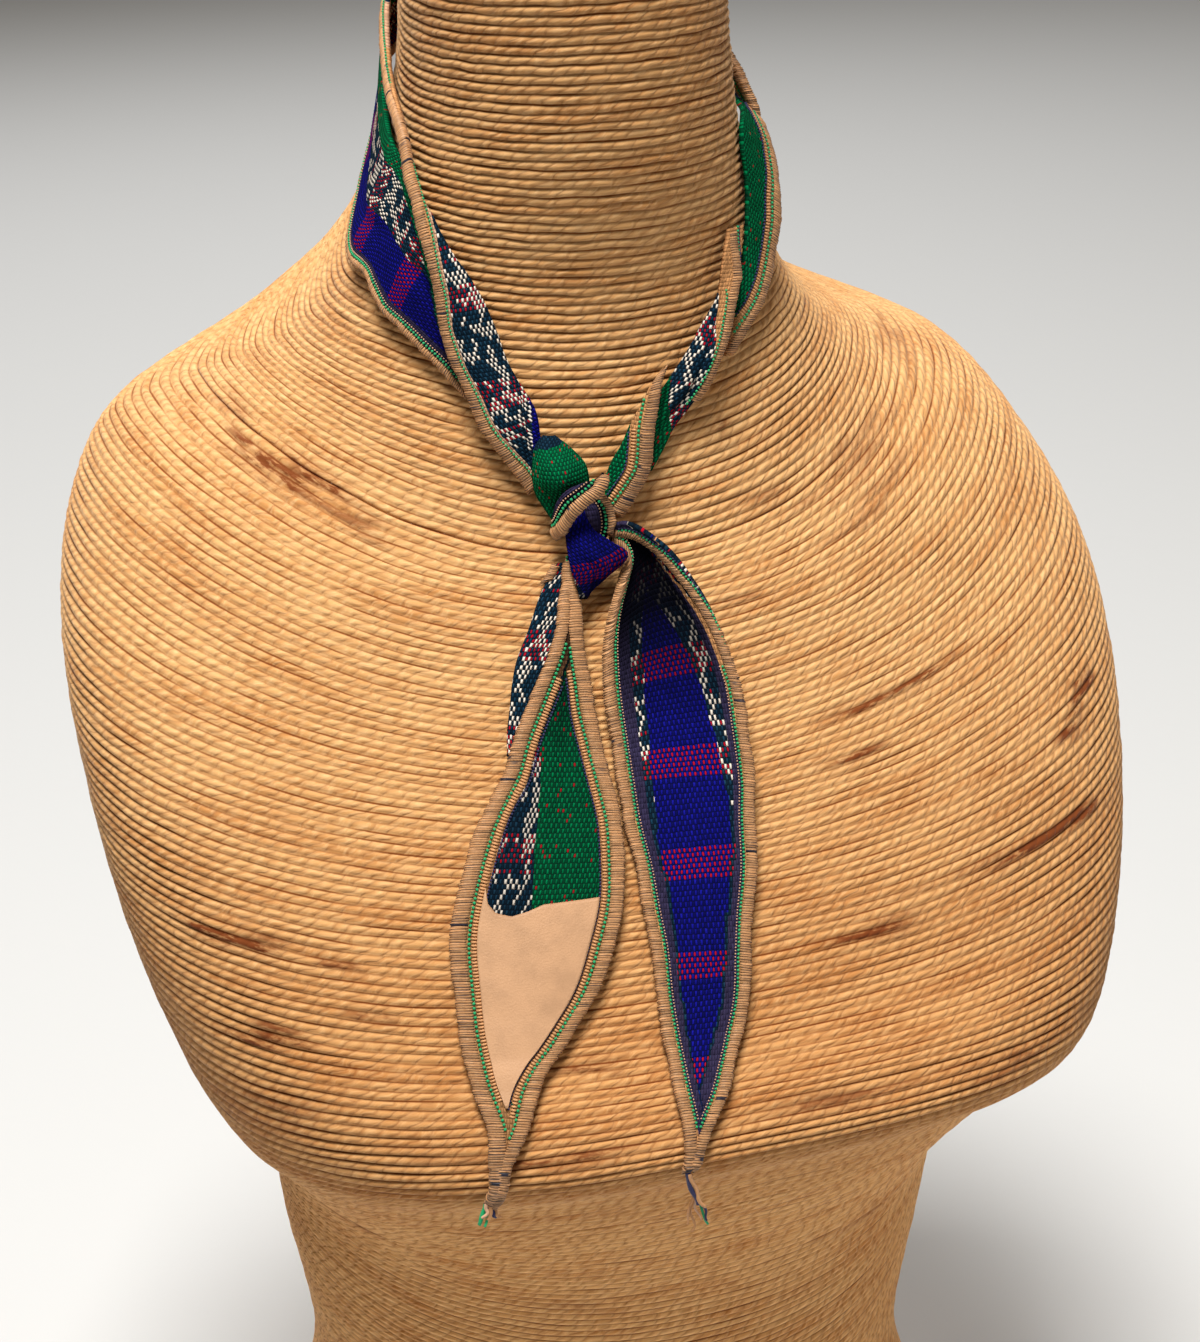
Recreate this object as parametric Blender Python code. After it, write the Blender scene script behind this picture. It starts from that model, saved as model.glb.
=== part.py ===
"""Neck scarf tied round the neck of a limbless dress form. Metres, +Z up, the form faces -Y.

The scarf is one long woven strip with overlocked edges. It goes round the neck, is tied in front and
hangs down in two tails. Every stretch of it that shows is a thin wall of its own, laid on the form:
a table row gives where its two long edges lie and how far they stand off the form.
"""
import math

import bmesh
import bpy
from mathutils import Matrix, Vector
from mathutils.bvhtree import BVHTree

MM = 0.001
WALL = 2.0 * MM          # cloth
HEM = 3.2 * MM           # cloth and thread together, at an overlocked edge
HEM_WIDTH = 5.0 * MM
SEAM = 0.3 * MM          # air between two stretches that meet
LEATHER = 1.0 * MM
DEPTH_MIDDLE = -26.4 * MM  # from the neck's axis, in y, to the middle of the whole part
ROPE = (0.52, 0.31, 0.12)

# ---------------------------------------------------------------- dress form
# One row for each ring of the form, from the neck down, in mm. A ring lies level round the neck and
# dips at the front of the chest, as the windings do: its sides, front and back have their own heights.
FORM_COLUMNS = ("half_width", "side_y", "side_z", "front_y", "front_z", "back_y", "back_z", "squareness")
FORM_ROWS = (
    (49, 0, 668, -66, 668, 61, 668, 2.04),
    (48, -1, 632, -69, 634, 64, 645, 2.08),
    (52, 0, 576, -65, 576, 68, 610, 2.09),
    (66, 11, 533, -56, 527, 74, 577, 2.08),
    (86, 27, 505, -59, 491, 85, 548, 2.10),
    (113, 43, 490, -69, 453, 98, 521, 2.20),
    (147, 48, 476, -84, 428, 109, 492, 2.25),
    (166, 26, 450, -99, 403, 117, 456, 2.22),
    (175, -7, 419, -114, 382, 119, 413, 2.18),
    (175, -31, 381, -132, 357, 117, 371, 2.32),
    (169, -39, 337, -153, 326, 112, 334, 2.60),
    (159, -34, 298, -171, 308, 107, 306, 2.78),
    (150, -23, 274, -176, 291, 102, 280, 2.75),
    (138, -13, 250, -148, 264, 99, 246, 2.60),
    (124, -4, 222, -112, 204, 98, 200, 2.35),
    (119, 2, 178, -99, 150, 102, 157, 2.25),
    (111, 6, 110, -96, 92, 112, 104, 2.20),
    (126, 5, 50, -105, 42, 124, 48, 2.20),
    (142, 3, 0, -112, 0, 128, 0, 2.25),
)
BACK_SQUARENESS = 2.3
RING_POINTS = 48
RINGS_PER_ROW = 3
CAP_RISE = 10 * MM
CAP_RINGS = 4


# ---------------------------------------------------------------- scarf
# One row for each section of a stretch. Each gives its two long edges, a and b: their turn round the
# neck's axis in degrees, with 0 at the front and + towards +X, their height, and their gap off the
# form. Crown is how much further out the middle stands. All but the turns are in mm. The edges are the
# outsides of the wall, as seen from the front.
EDGE_COLUMNS = ("a_turn", "a_z", "a_gap", "b_turn", "b_z", "b_gap", "crown")

# a is the upper edge, b the lower, from the form's right side round the back to its left
NECK_BACK = (
    (-128, 610, 4.5, -128, 585, 3.5, 0.5),
    (-155, 616, 4.5, -155, 587, 4, 1),
    (-182, 618, 4.5, -182, 587, 4, 1),
    (-208, 613, 4.5, -208, 583, 4, 1),
    (-236, 601, 5, -236, 576, 3.5, 0.5),
)
# the full width of the cloth beside the neck, its outer edge free over the shoulder
NECK_LEFT_UNDER = (
    (-128, 600, 4, -128, 585, 3, 0.5),
    (-114, 589, 4, -122, 569, 2.5, 1),
    (-98, 577, 4, -112, 548, 3.5, 1),
    (-85, 570, 4, -97, 533, 5, 1),
    (-71.5, 565, 4, -82, 529, 5, 1),
    (-61, 550, 4, -71.5, 520, 5, 1),
    (-55, 534, 4, -65, 516, 4.5, 1),
    (-50.5, 519, 4, -57.5, 510, 4, 0.5),
    (-47.5, 511, 3.5, -51.5, 504, 3.5, 0),
    (-44, 502, 3, -46, 497, 2.5, 0),
)
# the other half, turned back over it: a is its free edge, b the fold
NECK_LEFT_FOLD = (
    (-128, 604, 4.5, -128, 610, 3, 0),
    (-110, 592, 4.5, -110, 598, 2.5, 0),
    (-97, 583, 4.5, -96, 589, 2.5, 0),
    (-83.5, 577, 5, -82, 582, 2.5, 0),
    (-74, 571, 6, -71.5, 573, 3.5, 0),
    (-68.5, 564, 7, -66, 566, 4, 0),
    (-64, 557, 7.5, -61, 558, 4, 0.3),
    (-60, 549, 7.5, -56, 551, 3.5, 1),
    (-56.5, 540, 7.5, -50, 542, 3.5, 2),
    (-53.5, 530, 7.5, -43, 532, 3.5, 2.5),
    (-51.5, 519, 7.5, -38, 521, 3.5, 3),
    (-48, 509, 7.5, -34.5, 510, 3.5, 3),
    (-44, 500, 7, -30, 502, 3.5, 3),
    (-40, 490, 6.5, -26.5, 494, 3.5, 3),
    (-35, 481, 5, -25.5, 486, 3, 2),
    (-31, 475, 4, -24, 479, 2.5, 1),
)
# three turns of the twisted stretch: a lies against the neck, b is the free edge
NECK_RIGHT_A = (
    (124, 576, 3.5, 124, 601, 5, 0.5),
    (120, 575, 3, 110, 595, 6, 0.5),
    (116, 573, 2.5, 97, 587, 6.5, 0),
    (111, 569, 2.5, 85, 578, 8, 0),
    (104, 570, 2.5, 77, 568, 9, 0),
    (97, 568, 2.5, 71, 560, 10, 0),
    (87, 563, 2.5, 66, 551, 10.5, 0),
    (75, 555, 2.5, 62, 544, 10.5, 0),
    (60, 545, 2.5, 60, 536, 9, 0),
    (43, 532, 2.5, 56, 525, 5.5, 0.5),
    (34, 520, 2.5, 48.5, 516, 4, 1),
    (31, 512, 2.5, 40, 510, 3.5, 1),
    (28.5, 505, 2.5, 33.5, 504, 3, 0),
)
NECK_RIGHT_B = (
    (33, 547, 2.5, 34.5, 547, 3, 0),
    (31, 541, 3, 34.5, 541, 5, 0),
    (29.5, 531, 3.5, 34.5, 531, 7, 1),
    (26.5, 522, 3.5, 32.5, 521, 7.5, 2),
    (21.5, 513, 3.5, 30.5, 512, 7, 2.5),
    (16, 506, 3.5, 27, 505, 6.5, 3),
    (10, 499, 3, 23, 497, 5, 2.5),
    (5.5, 493, 2.5, 18, 490, 3, 2),
    (3, 486, 2, 13, 485, 2.5, 1.5),
    (1.5, 480, 1.6, 9, 478, 2.2, 1),
    (1, 474, 1.6, 5, 472, 2.2, 0.5),
)
NECK_RIGHT_C = (
    (8, 504, 7, 10, 505, 7, 0),
    (3.5, 499, 7, 7.5, 500, 8.5, 0.5),
    (0.5, 494, 6.5, 6, 494, 8.5, 1.5),
    (-2.5, 489, 6, 4.5, 488, 8.5, 2),
    (-5, 483, 5, 4, 482, 8, 2.5),
    (-8, 477, 3, 3.5, 475, 7.5, 3),
    (-9.5, 472, 1.6, 0.5, 469, 6, 2),
    (-10, 466, 1.6, -3.5, 463, 4, 1),
    (-9.5, 462, 1.6, -6, 460, 3.2, 0),
)
# the knot: a ball of cloth, the hem that crosses it, a second hem beside it and the stretch between
KNOT_BALL = (
    (-26.5, 485, 7, -22, 486, 7, 1),
    (-28, 483, 8, -18.5, 483, 8, 4),
    (-28.5, 479, 8, -15, 480, 8, 7),
    (-28.5, 474, 8, -13, 476, 8, 8),
    (-27.5, 469, 7.5, -13, 472, 7.5, 5),
    (-25.5, 465, 7, -14, 469, 7, 1.5),
    (-23.5, 462, 6, -15.5, 466, 6, 0),
)
KNOT_LOOP = (
    (-24, 460, 5, -22, 456, 5, 0),
    (-24.5, 465, 10, -19.5, 459, 11.5, 0),
    (-22.5, 469, 14.5, -18, 464, 14.5, 0.5),
    (-20, 473, 17.5, -16.5, 467, 16, 1),
    (-17.5, 476, 18, -14, 470, 16.5, 1),
    (-14.5, 477, 15.5, -12, 471, 15.5, 1),
    (-12, 477, 12, -10, 472, 14, 1),
    (-10.5, 476, 9, -9, 474, 12, 0),
)
KNOT_EDGE = (
    (-14, 467, 6.5, -10.5, 470, 9, 0),
    (-13.5, 465, 7.2, -8.5, 467, 10, 0.5),
    (-13, 463, 7.2, -7.5, 465, 10, 0.5),
    (-12, 460, 6.5, -7.5, 461, 9, 0.5),
    (-10.5, 457, 6, -8.5, 458, 7.5, 0),
)
KNOT_CENTRE = (
    (-20, 461, 7, -14.5, 466, 10, 0.5),
    (-20, 457, 8, -13, 461, 10, 2),
    (-19.5, 452, 9, -10, 456, 9.5, 3),
    (-19, 448, 9, -7.5, 452, 9, 3),
    (-18, 444, 9, -11, 446, 8, 2),
    (-17.5, 441, 9, -15, 441, 8, 0.5),
)
# the tail with the label, with its left side turned under at the top: a is its left edge
TAIL_LEFT_FOLD = (
    (-22, 448, 2.5, -20.5, 448, 2.5, 0),
    (-23.5, 445, 2.5, -21.5, 445, 2.5, 0),
    (-25.5, 440, 2.5, -22, 439, 2.5, 0),
    (-27.5, 433, 2.5, -22, 432, 2.5, 0),
    (-29, 426, 2.5, -23.5, 425, 2.5, 0),
    (-29.5, 420, 2.5, -24.5, 419, 2.5, 0),
    (-29.5, 413, 2.5, -26, 412, 2.5, 0),
    (-29.5, 406, 2.5, -27, 405, 2.5, 0),
    (-29, 401, 2.5, -28, 400, 2.5, 0),
)
TAIL_LEFT = (
    (-20, 451, 4.5, -17.5, 451, 5, 0),
    (-20.5, 446, 5, -17.5, 446, 5, 0),
    (-21.5, 440, 6, -17, 439, 5, 0.5),
    (-21.5, 433, 6.2, -16.5, 432, 5, 0.5),
    (-23.5, 426, 6.2, -16, 424, 4, 0.5),
    (-25, 419, 6.2, -15.5, 417, 3.5, 0.5),
    (-26.5, 412, 6.2, -15, 409, 3.5, 0.5),
    (-28, 404, 6.2, -14, 400, 3.5, 0.8),
    (-29, 396, 4.5, -13, 392, 4, 1),
    (-31, 387, 4, -12, 382, 3.5, 1),
    (-32, 378, 4, -12, 373, 3.5, 1),
    (-32.5, 367, 4, -12.5, 362, 3.5, 1),
    (-32.5, 357, 3.5, -14, 352, 4, 1),
    (-31.5, 345, 3.5, -16, 341, 3.5, 1),
    (-30.5, 334, 3.5, -19, 331, 3.5, 0.8),
    (-29, 323, 3.5, -22, 321, 4, 0.5),
    (-27, 312, 3, -23, 311, 3, 0.3),
    (-26.5, 302, 3, -24.5, 302, 3, 0),
    (-26.5, 295, 3, -25, 294, 3, 0),
    (-27, 289, 3, -26.5, 287, 3, 0),
)
# the other tail, which comes over its own edge out of the knot and is cupped below it
TAIL_RIGHT = (
    (-9, 452, 3.5, -6.5, 456, 4, 0),
    (-7, 450, 4.5, -2.5, 456, 8.5, -1),
    (-6.5, 447, 6, 0.5, 453, 12, -2),
    (-8.5, 443, 7, 3, 447, 15, -5),
    (-11, 436, 7.5, 6, 439, 15.5, -7),
    (-12.5, 429, 7, 8.5, 431, 14, -7),
    (-13, 422, 6.5, 10, 422, 13, -6),
    (-13, 413, 6, 10.5, 412, 12, -5),
    (-12.5, 402, 5, 10, 400, 10, -3.5),
    (-12, 392, 4.5, 9, 387, 7.5, -2),
    (-11.5, 381, 3.5, 7.5, 377, 6, -1),
    (-10.5, 370, 3.5, 6, 365, 5, -0.5),
    (-10, 359, 3.5, 4, 354, 4.5, 0),
    (-9.5, 349, 3.5, 2.5, 344, 5, 0),
    (-9.5, 335, 3.5, 1, 332, 4.5, 0),
    (-9, 319, 4, -2.5, 317, 4.5, 0),
    (-8.5, 307, 3.5, -5.5, 306, 3.5, 0),
    (-8.5, 299, 3, -7, 298, 3, 0),
    (-8.5, 294, 3, -8, 294, 3, 0),
)
GREEN = (0.0, 0.16, 0.05)
BLUE = (0.03, 0.02, 0.26)
NAVY = (0.02, 0.05, 0.10)
TAN = (0.52, 0.27, 0.15)
HIDE = (0.70, 0.42, 0.24)
# which of its two edges is overlocked, for each stretch
STRETCH_COLUMNS = ("name", "table", "hem_a", "hem_b", "colour")
STRETCHES = (
    ("neck_back", NECK_BACK, True, True, NAVY),
    ("neck_left_under", NECK_LEFT_UNDER, False, True, BLUE),
    ("neck_left_fold", NECK_LEFT_FOLD, True, False, NAVY),
    ("neck_right_a", NECK_RIGHT_A, False, True, GREEN),
    ("neck_right_b", NECK_RIGHT_B, False, True, NAVY),
    ("neck_right_c", NECK_RIGHT_C, False, True, TAN),
    ("knot_ball", KNOT_BALL, False, False, GREEN),
    ("knot_loop", KNOT_LOOP, False, True, TAN),
    ("knot_edge", KNOT_EDGE, False, True, TAN),
    ("knot_centre", KNOT_CENTRE, False, False, BLUE),
    ("tail_left_fold", TAIL_LEFT_FOLD, False, False, NAVY),
    ("tail_left", TAIL_LEFT, True, True, GREEN),
    ("tail_right", TAIL_RIGHT, True, True, BLUE),
)
ACROSS = 7               # points from one long edge of a stretch to the other
STATIONS_PER_ROW = 2
LABEL_TOP_Z = 366 * MM   # where the left tail's edge a meets the label's top
LABEL_MARGIN = 7.8 * MM  # bare cloth and hem between the label and each long edge
LABEL_ACROSS = 5
LABEL_STEPS = 6          # sections of the label for each row of the tail's table


def rows_of(columns, table):
    """Each row of a table as a dictionary, its lengths turned from mm into metres."""
    return [{key: value if key.endswith(("squareness", "turn")) else value * MM
             for key, value in zip(columns, row)} for row in table]


def eased(rows, per_row):
    """The rows with per_row steps between each pair, along Catmull-Rom curves through them all."""
    out = []
    for i in range(len(rows) - 1):
        a, b, c, d = (rows[max(i - 1, 0)], rows[i], rows[i + 1], rows[min(i + 2, len(rows) - 1)])
        for step in range(per_row):
            f = step / per_row
            out.append({k: b[k] + 0.5 * f * (c[k] - a[k] + f * (2 * a[k] - 5 * b[k] + 4 * c[k] - d[k]
                        + f * (3 * (b[k] - c[k]) + d[k] - a[k]))) for k in b})
    return out + [rows[-1]]


def form_ring(row):
    """The points of one ring, anticlockwise from the form's left side as seen from above."""
    points = []
    for i in range(RING_POINTS):
        angle = 2 * math.pi * i / RING_POINTS
        across, along = math.cos(angle), math.sin(angle)
        front = along < 0
        power = 2 / (row["squareness"] if front else BACK_SQUARENESS)
        reach = (row["side_y"] - row["front_y"]) if front else (row["back_y"] - row["side_y"])
        end_z = row["front_z"] if front else row["back_z"]
        x = math.copysign(abs(across) ** power, across) * row["half_width"]
        y = row["side_y"] + math.copysign(abs(along) ** power, along) * reach
        points.append(Vector((x, y, row["side_z"] + (end_z - row["side_z"]) * along ** 2)))
    return points


def cap_rings(ring):
    """Smaller and smaller rings that dome over the top of the neck."""
    middle = sum(ring, Vector()) / len(ring)
    for i in range(1, CAP_RINGS):
        angle = 0.5 * math.pi * i / CAP_RINGS
        yield [middle + (p - middle) * math.cos(angle) + Vector((0, 0, CAP_RISE * math.sin(angle)))
               for p in reversed(ring)][::-1]


def add_object(name, rings, colour, roughness, caps=True):
    """A closed mesh lofted through rings of equal length, with its two ends filled from their middles."""
    mesh = bmesh.new()
    lines = [[mesh.verts.new(point) for point in ring] for ring in rings]
    count = len(rings[0])
    for low, high in zip(lines, lines[1:]):
        for i in range(count):
            j = (i + 1) % count
            mesh.faces.new((low[i], low[j], high[j], high[i]))
    for line in (lines[0], lines[-1]):
        middle = mesh.verts.new(sum((v.co for v in line), Vector()) / count)
        for i in range(count):
            mesh.faces.new((line[i], line[(i + 1) % count], middle))
    bmesh.ops.recalc_face_normals(mesh, faces=mesh.faces)
    for face in mesh.faces:
        face.smooth = True
    data = bpy.data.meshes.new(name)
    mesh.to_mesh(data)
    mesh.free()
    material = bpy.data.materials.new(name)
    material.use_nodes = True
    shader = material.node_tree.nodes["Principled BSDF"]
    shader.inputs["Base Color"].default_value = (*colour, 1)
    shader.inputs["Roughness"].default_value = roughness
    shader.inputs["Metallic"].default_value = 0
    data.materials.append(material)
    thing = bpy.data.objects.new(name, data)
    bpy.context.scene.collection.objects.link(thing)
    return thing


def build_form():
    rings = [form_ring(row) for row in eased(rows_of(FORM_COLUMNS, FORM_ROWS), RINGS_PER_ROW)]
    rings = list(cap_rings(rings[0]))[::-1] + rings
    return add_object("form", rings, ROPE, 0.85)


def skin_of(thing):
    mesh = thing.data
    return BVHTree.FromPolygons([v.co for v in mesh.vertices], [p.vertices for p in mesh.polygons])


def on_form(skin, turn, z, gap):
    """The point off the form's surface, met along a level line out from the neck's axis."""
    angle = math.radians(turn)
    out = Vector((math.sin(angle), -math.cos(angle), 0))
    far = Vector((0, 0, z)) + out
    hit = skin.ray_cast(far, -out)[0]
    return hit + out * gap


def section_points(skin, row, shares):
    """The middle of the wall across one section, at each share of the way from edge a to edge b."""
    points = []
    for share in shares:
        turn, z, gap = (row["a_" + k] + (row["b_" + k] - row["a_" + k]) * share for k in ("turn", "z", "gap"))
        points.append(on_form(skin, turn, z, gap + row["crown"] * math.sin(math.pi * share)))
    return points


def outward_normals(lines):
    """The unit normal at each point of a grid of lines, on the side away from the form."""
    normals = []
    for i, line in enumerate(lines):
        before, after = lines[max(i - 1, 0)], lines[min(i + 1, len(lines) - 1)]
        row = []
        for j, point in enumerate(line):
            across = line[min(j + 1, len(line) - 1)] - line[max(j - 1, 0)]
            row.append(across.cross(after[j] - before[j]).normalized())
        normals.append(row)
    middle = lines[len(lines) // 2][len(lines[0]) // 2]
    facing = normals[len(lines) // 2][len(lines[0]) // 2].dot(Vector((middle.x, middle.y, 0)))
    return [[n if facing > 0 else -n for n in row] for row in normals]


def half_wall(distances, hem_a, hem_b):
    """Half the wall's thickness, given the distances to the two edges: thicker over a hem."""
    half = 0.5 * WALL
    for distance, hem in zip(distances, (hem_a, hem_b)):
        if hem and distance < HEM_WIDTH:
            half = max(half, 0.5 * WALL + 0.5 * (HEM - WALL) * (1 - (distance / HEM_WIDTH) ** 2))
    return half


def wall_rings(lines, halves):
    """Rings round a wall: its outer face from a to b, a rounded edge, its inner face back, and another."""
    normals = outward_normals(lines)
    rings = []
    for line, row, thick in zip(lines, normals, halves):
        outer = [p + n * h for p, n, h in zip(line, row, thick)]
        inner = [p - n * h for p, n, h in zip(line, row, thick)]
        tip_b = line[-1] + (line[-1] - line[-2]).normalized() * thick[-1]
        tip_a = line[0] + (line[0] - line[1]).normalized() * thick[0]
        rings.append(outer + [tip_b] + inner[::-1] + [tip_a])
    return rings


def draw_in(rings):
    """The rings with each end moved inward by a seam, along the stretch."""
    for end, neighbour in ((0, 1), (-1, -2)):
        rings[end] = [p + (q - p).normalized() * SEAM for p, q in zip(rings[end], rings[neighbour])]
    return rings


def build_stretch(skin, stretch):
    lines, halves = [], []
    for row in eased(rows_of(EDGE_COLUMNS, stretch["table"]), STATIONS_PER_ROW):
        a, b = section_points(skin, row, (0, 1))
        tip_a, tip_b = (min(0.3, 0.5 * (HEM if stretch[hem] else WALL) / (b - a).length)
                        for hem in ("hem_a", "hem_b"))
        spread = [0.5 - 0.5 * math.cos(math.pi * i / (ACROSS - 1)) for i in range(ACROSS)]
        line = section_points(skin, row, [tip_a + (1 - tip_a - tip_b) * s for s in spread])
        width = (line[-1] - line[0]).length
        lines.append(line)
        halves.append([half_wall((width * s, width * (1 - s)), stretch["hem_a"], stretch["hem_b"])
                       for s in spread])
    return add_object(stretch["name"], draw_in(wall_rings(lines, halves)), stretch["colour"], 0.9)


def build_label(skin):
    """A leather triangle on the outside of the left tail, made from the tail's own points, moved out."""
    rise = 0.5 * WALL + SEAM + 0.5 * LEATHER
    lines = []
    for row in eased(rows_of(EDGE_COLUMNS, TAIL_LEFT), LABEL_STEPS):
        a, b = section_points(skin, row, (0, 1))
        width = (b - a).length
        if row["a_z"] > LABEL_TOP_Z or width < 2 * LABEL_MARGIN + LEATHER:
            continue
        margin = LABEL_MARGIN / width
        shares = [margin + (1 - 2 * margin) * i / (LABEL_ACROSS - 1) for i in range(LABEL_ACROSS)]
        lines.append(section_points(skin, row, shares))
    normals = outward_normals(lines)
    lines = [[p + n * rise for p, n in zip(line, row)] for line, row in zip(lines, normals)]
    halves = [[0.5 * LEATHER] * LABEL_ACROSS for _ in lines]
    return add_object("label", wall_rings(lines, halves), HIDE, 0.6)


def main():
    for thing in list(bpy.data.objects):
        bpy.data.objects.remove(thing, do_unlink=True)
    form = build_form()
    skin = skin_of(form)
    for values in STRETCHES:
        build_stretch(skin, dict(zip(STRETCH_COLUMNS, values)))
    build_label(skin)
    for thing in bpy.data.objects:
        thing.data.transform(Matrix.Translation((0, -DEPTH_MIDDLE, 0)))


main()
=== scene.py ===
"""Neck scarf tied round the neck of a rope-wound dress form, on a plain pale floor.

The form is wound with jute from its neck to its base. The scarf is one woven strip with overlocked edges,
tied in front, and each stretch of it that shows is a sheet of its own, with its stitching laid on it.
"""

import math

import bmesh
import bpy
import numpy as np
from bpy.props import FloatProperty, FloatVectorProperty, PointerProperty
from mathutils import Euler, Matrix, Vector
from mathutils.bvhtree import BVHTree


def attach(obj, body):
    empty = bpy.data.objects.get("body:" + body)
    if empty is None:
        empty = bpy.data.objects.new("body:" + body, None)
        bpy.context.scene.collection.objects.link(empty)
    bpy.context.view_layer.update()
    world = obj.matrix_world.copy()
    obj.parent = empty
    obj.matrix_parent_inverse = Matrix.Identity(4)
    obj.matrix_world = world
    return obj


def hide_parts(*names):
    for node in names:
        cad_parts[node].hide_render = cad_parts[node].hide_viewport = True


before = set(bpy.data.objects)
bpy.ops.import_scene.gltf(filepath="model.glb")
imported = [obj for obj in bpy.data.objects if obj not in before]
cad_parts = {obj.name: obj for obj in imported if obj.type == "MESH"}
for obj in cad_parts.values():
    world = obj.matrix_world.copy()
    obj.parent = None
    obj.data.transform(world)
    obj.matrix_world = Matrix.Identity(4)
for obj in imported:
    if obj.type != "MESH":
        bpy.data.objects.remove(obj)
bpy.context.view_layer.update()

bl_info = {
    "name": "Neck scarf on a dress form",
    "version": (1, 0, 0),
    "blender": (4, 5, 0),
    "location": "3D View > Sidebar > Scarf",
    "description": "Builds a tied neck scarf and the rope-wound dress form that wears it",
    "category": "Add Mesh",
}

MM = 0.001
AXIS = Vector((0, 0.0264, 0))    # the neck's axis

# ---------------------------------------------------------------- dress form
# One row for each ring of the form, from the neck down, in mm, as the windings lie.
FORM_COLUMNS = ("half_width", "side_y", "side_z", "front_y", "front_z", "back_y", "back_z", "squareness")
FORM_ROWS = (
    (49, 0, 668, -66, 668, 61, 668, 2.04),
    (48, -1, 632, -69, 634, 64, 645, 2.08),
    (52, 0, 576, -65, 576, 68, 610, 2.09),
    (66, 11, 533, -56, 527, 74, 577, 2.08),
    (86, 27, 505, -59, 491, 85, 548, 2.10),
    (113, 43, 490, -69, 453, 98, 521, 2.20),
    (147, 48, 476, -84, 428, 109, 492, 2.25),
    (166, 26, 450, -99, 403, 117, 456, 2.22),
    (175, -7, 419, -114, 382, 119, 413, 2.18),
    (175, -31, 381, -132, 357, 117, 371, 2.32),
    (169, -39, 337, -153, 326, 112, 334, 2.60),
    (159, -34, 298, -171, 308, 107, 306, 2.78),
    (150, -23, 274, -176, 291, 102, 280, 2.75),
    (138, -13, 250, -148, 264, 99, 246, 2.60),
    (124, -4, 222, -112, 204, 98, 200, 2.35),
    (119, 2, 178, -99, 150, 102, 157, 2.25),
    (111, 6, 110, -96, 92, 112, 104, 2.20),
    (126, 5, 50, -105, 42, 124, 48, 2.20),
    (142, 3, 0, -112, 0, 128, 0, 2.25),
)
BACK_SQUARENESS = 2.3
CAP_RISE = 10 * MM
ROPE_ROUND = 200         # points round a turn of rope
# how deep the rope's surface lies at each quarter of a turn's height, from groove to groove, in mm
ROPE_SECTION = ((0, 1.0), (0.25, 0.22), (0.5, 0), (0.75, 0.22))
ROPE_SINK = 0.15 * MM    # the crests lie this far in from the table's rings
ROPE_PLY = 5.4 * MM      # between two plies of the twisted rope, along it
CAP_TURNS = 14           # turns that lie straight on the cap
CAP_BLEND = 6            # turns over which the rope starts to stray after them
BASE_TURNS = 3           # turns over which it lies straight again at the base
# each piece of the winding, and the shares of all the turns between which it lies
ROPE_PIECES = (("rope_neck", 0, 0.35), ("rope_chest", 0.35, 0.68), ("rope_waist", 0.68, 1))

# Where the rope is stained brown: its turn round the neck's axis in degrees, 0 at the front and + towards
# +X, its height and length in mm, how many turns of rope it covers, and how dark it is.
STAIN_COLUMNS = ("turn", "z", "length", "turns", "strength")
STAINS = (
    (-74, 472, 88, 4.0, 0.85),
    (-62, 462, 40, 2.0, 0.6),
    (-95, 486, 50, 2.0, 0.4),
    (-51, 356, 66, 1.6, 1.0),
    (-44, 352, 24, 1.2, 0.7),
    (-49, 330, 40, 3.0, 0.75),
    (-38, 338, 22, 1.4, 0.6),
    (-16, 322, 24, 1.8, 0.9),
    (-24, 301, 80, 1.6, 0.7),
    (-45, 310, 50, 1.4, 0.5),
    (34, 399, 105, 1.3, 0.85),
    (24, 386, 40, 1.2, 0.8),
    (37, 349, 130, 1.4, 0.95),
    (22, 341, 50, 1.6, 0.8),
    (50, 352, 40, 1.2, 0.8),
    (58, 383, 26, 3.4, 1.0),
    (54, 376, 20, 1.6, 0.9),
    (62, 463, 70, 6.0, 0.42),
    (55, 450, 60, 3.0, 0.45),
    (94, 484, 60, 5.0, 0.4),
    (28, 482, 9, 1.4, 0.7),
    (35, 457, 40, 1.6, 0.45),
    (17, 432, 30, 1.4, 0.5),
    (4, 304, 70, 1.8, 0.6),
    (30, 300, 60, 2.0, 0.55),
    (-57, 227, 45, 2.0, 0.5),
    (29, 203, 60, 1.6, 0.45),
    (-20, 196, 50, 1.4, 0.4),
    (-8, 372, 30, 1.2, 0.35),
    (150, 430, 90, 2.0, 0.6),
    (-140, 380, 110, 1.6, 0.6),
    (175, 300, 80, 2.4, 0.6),
    (120, 330, 60, 1.4, 0.6),
)

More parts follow.
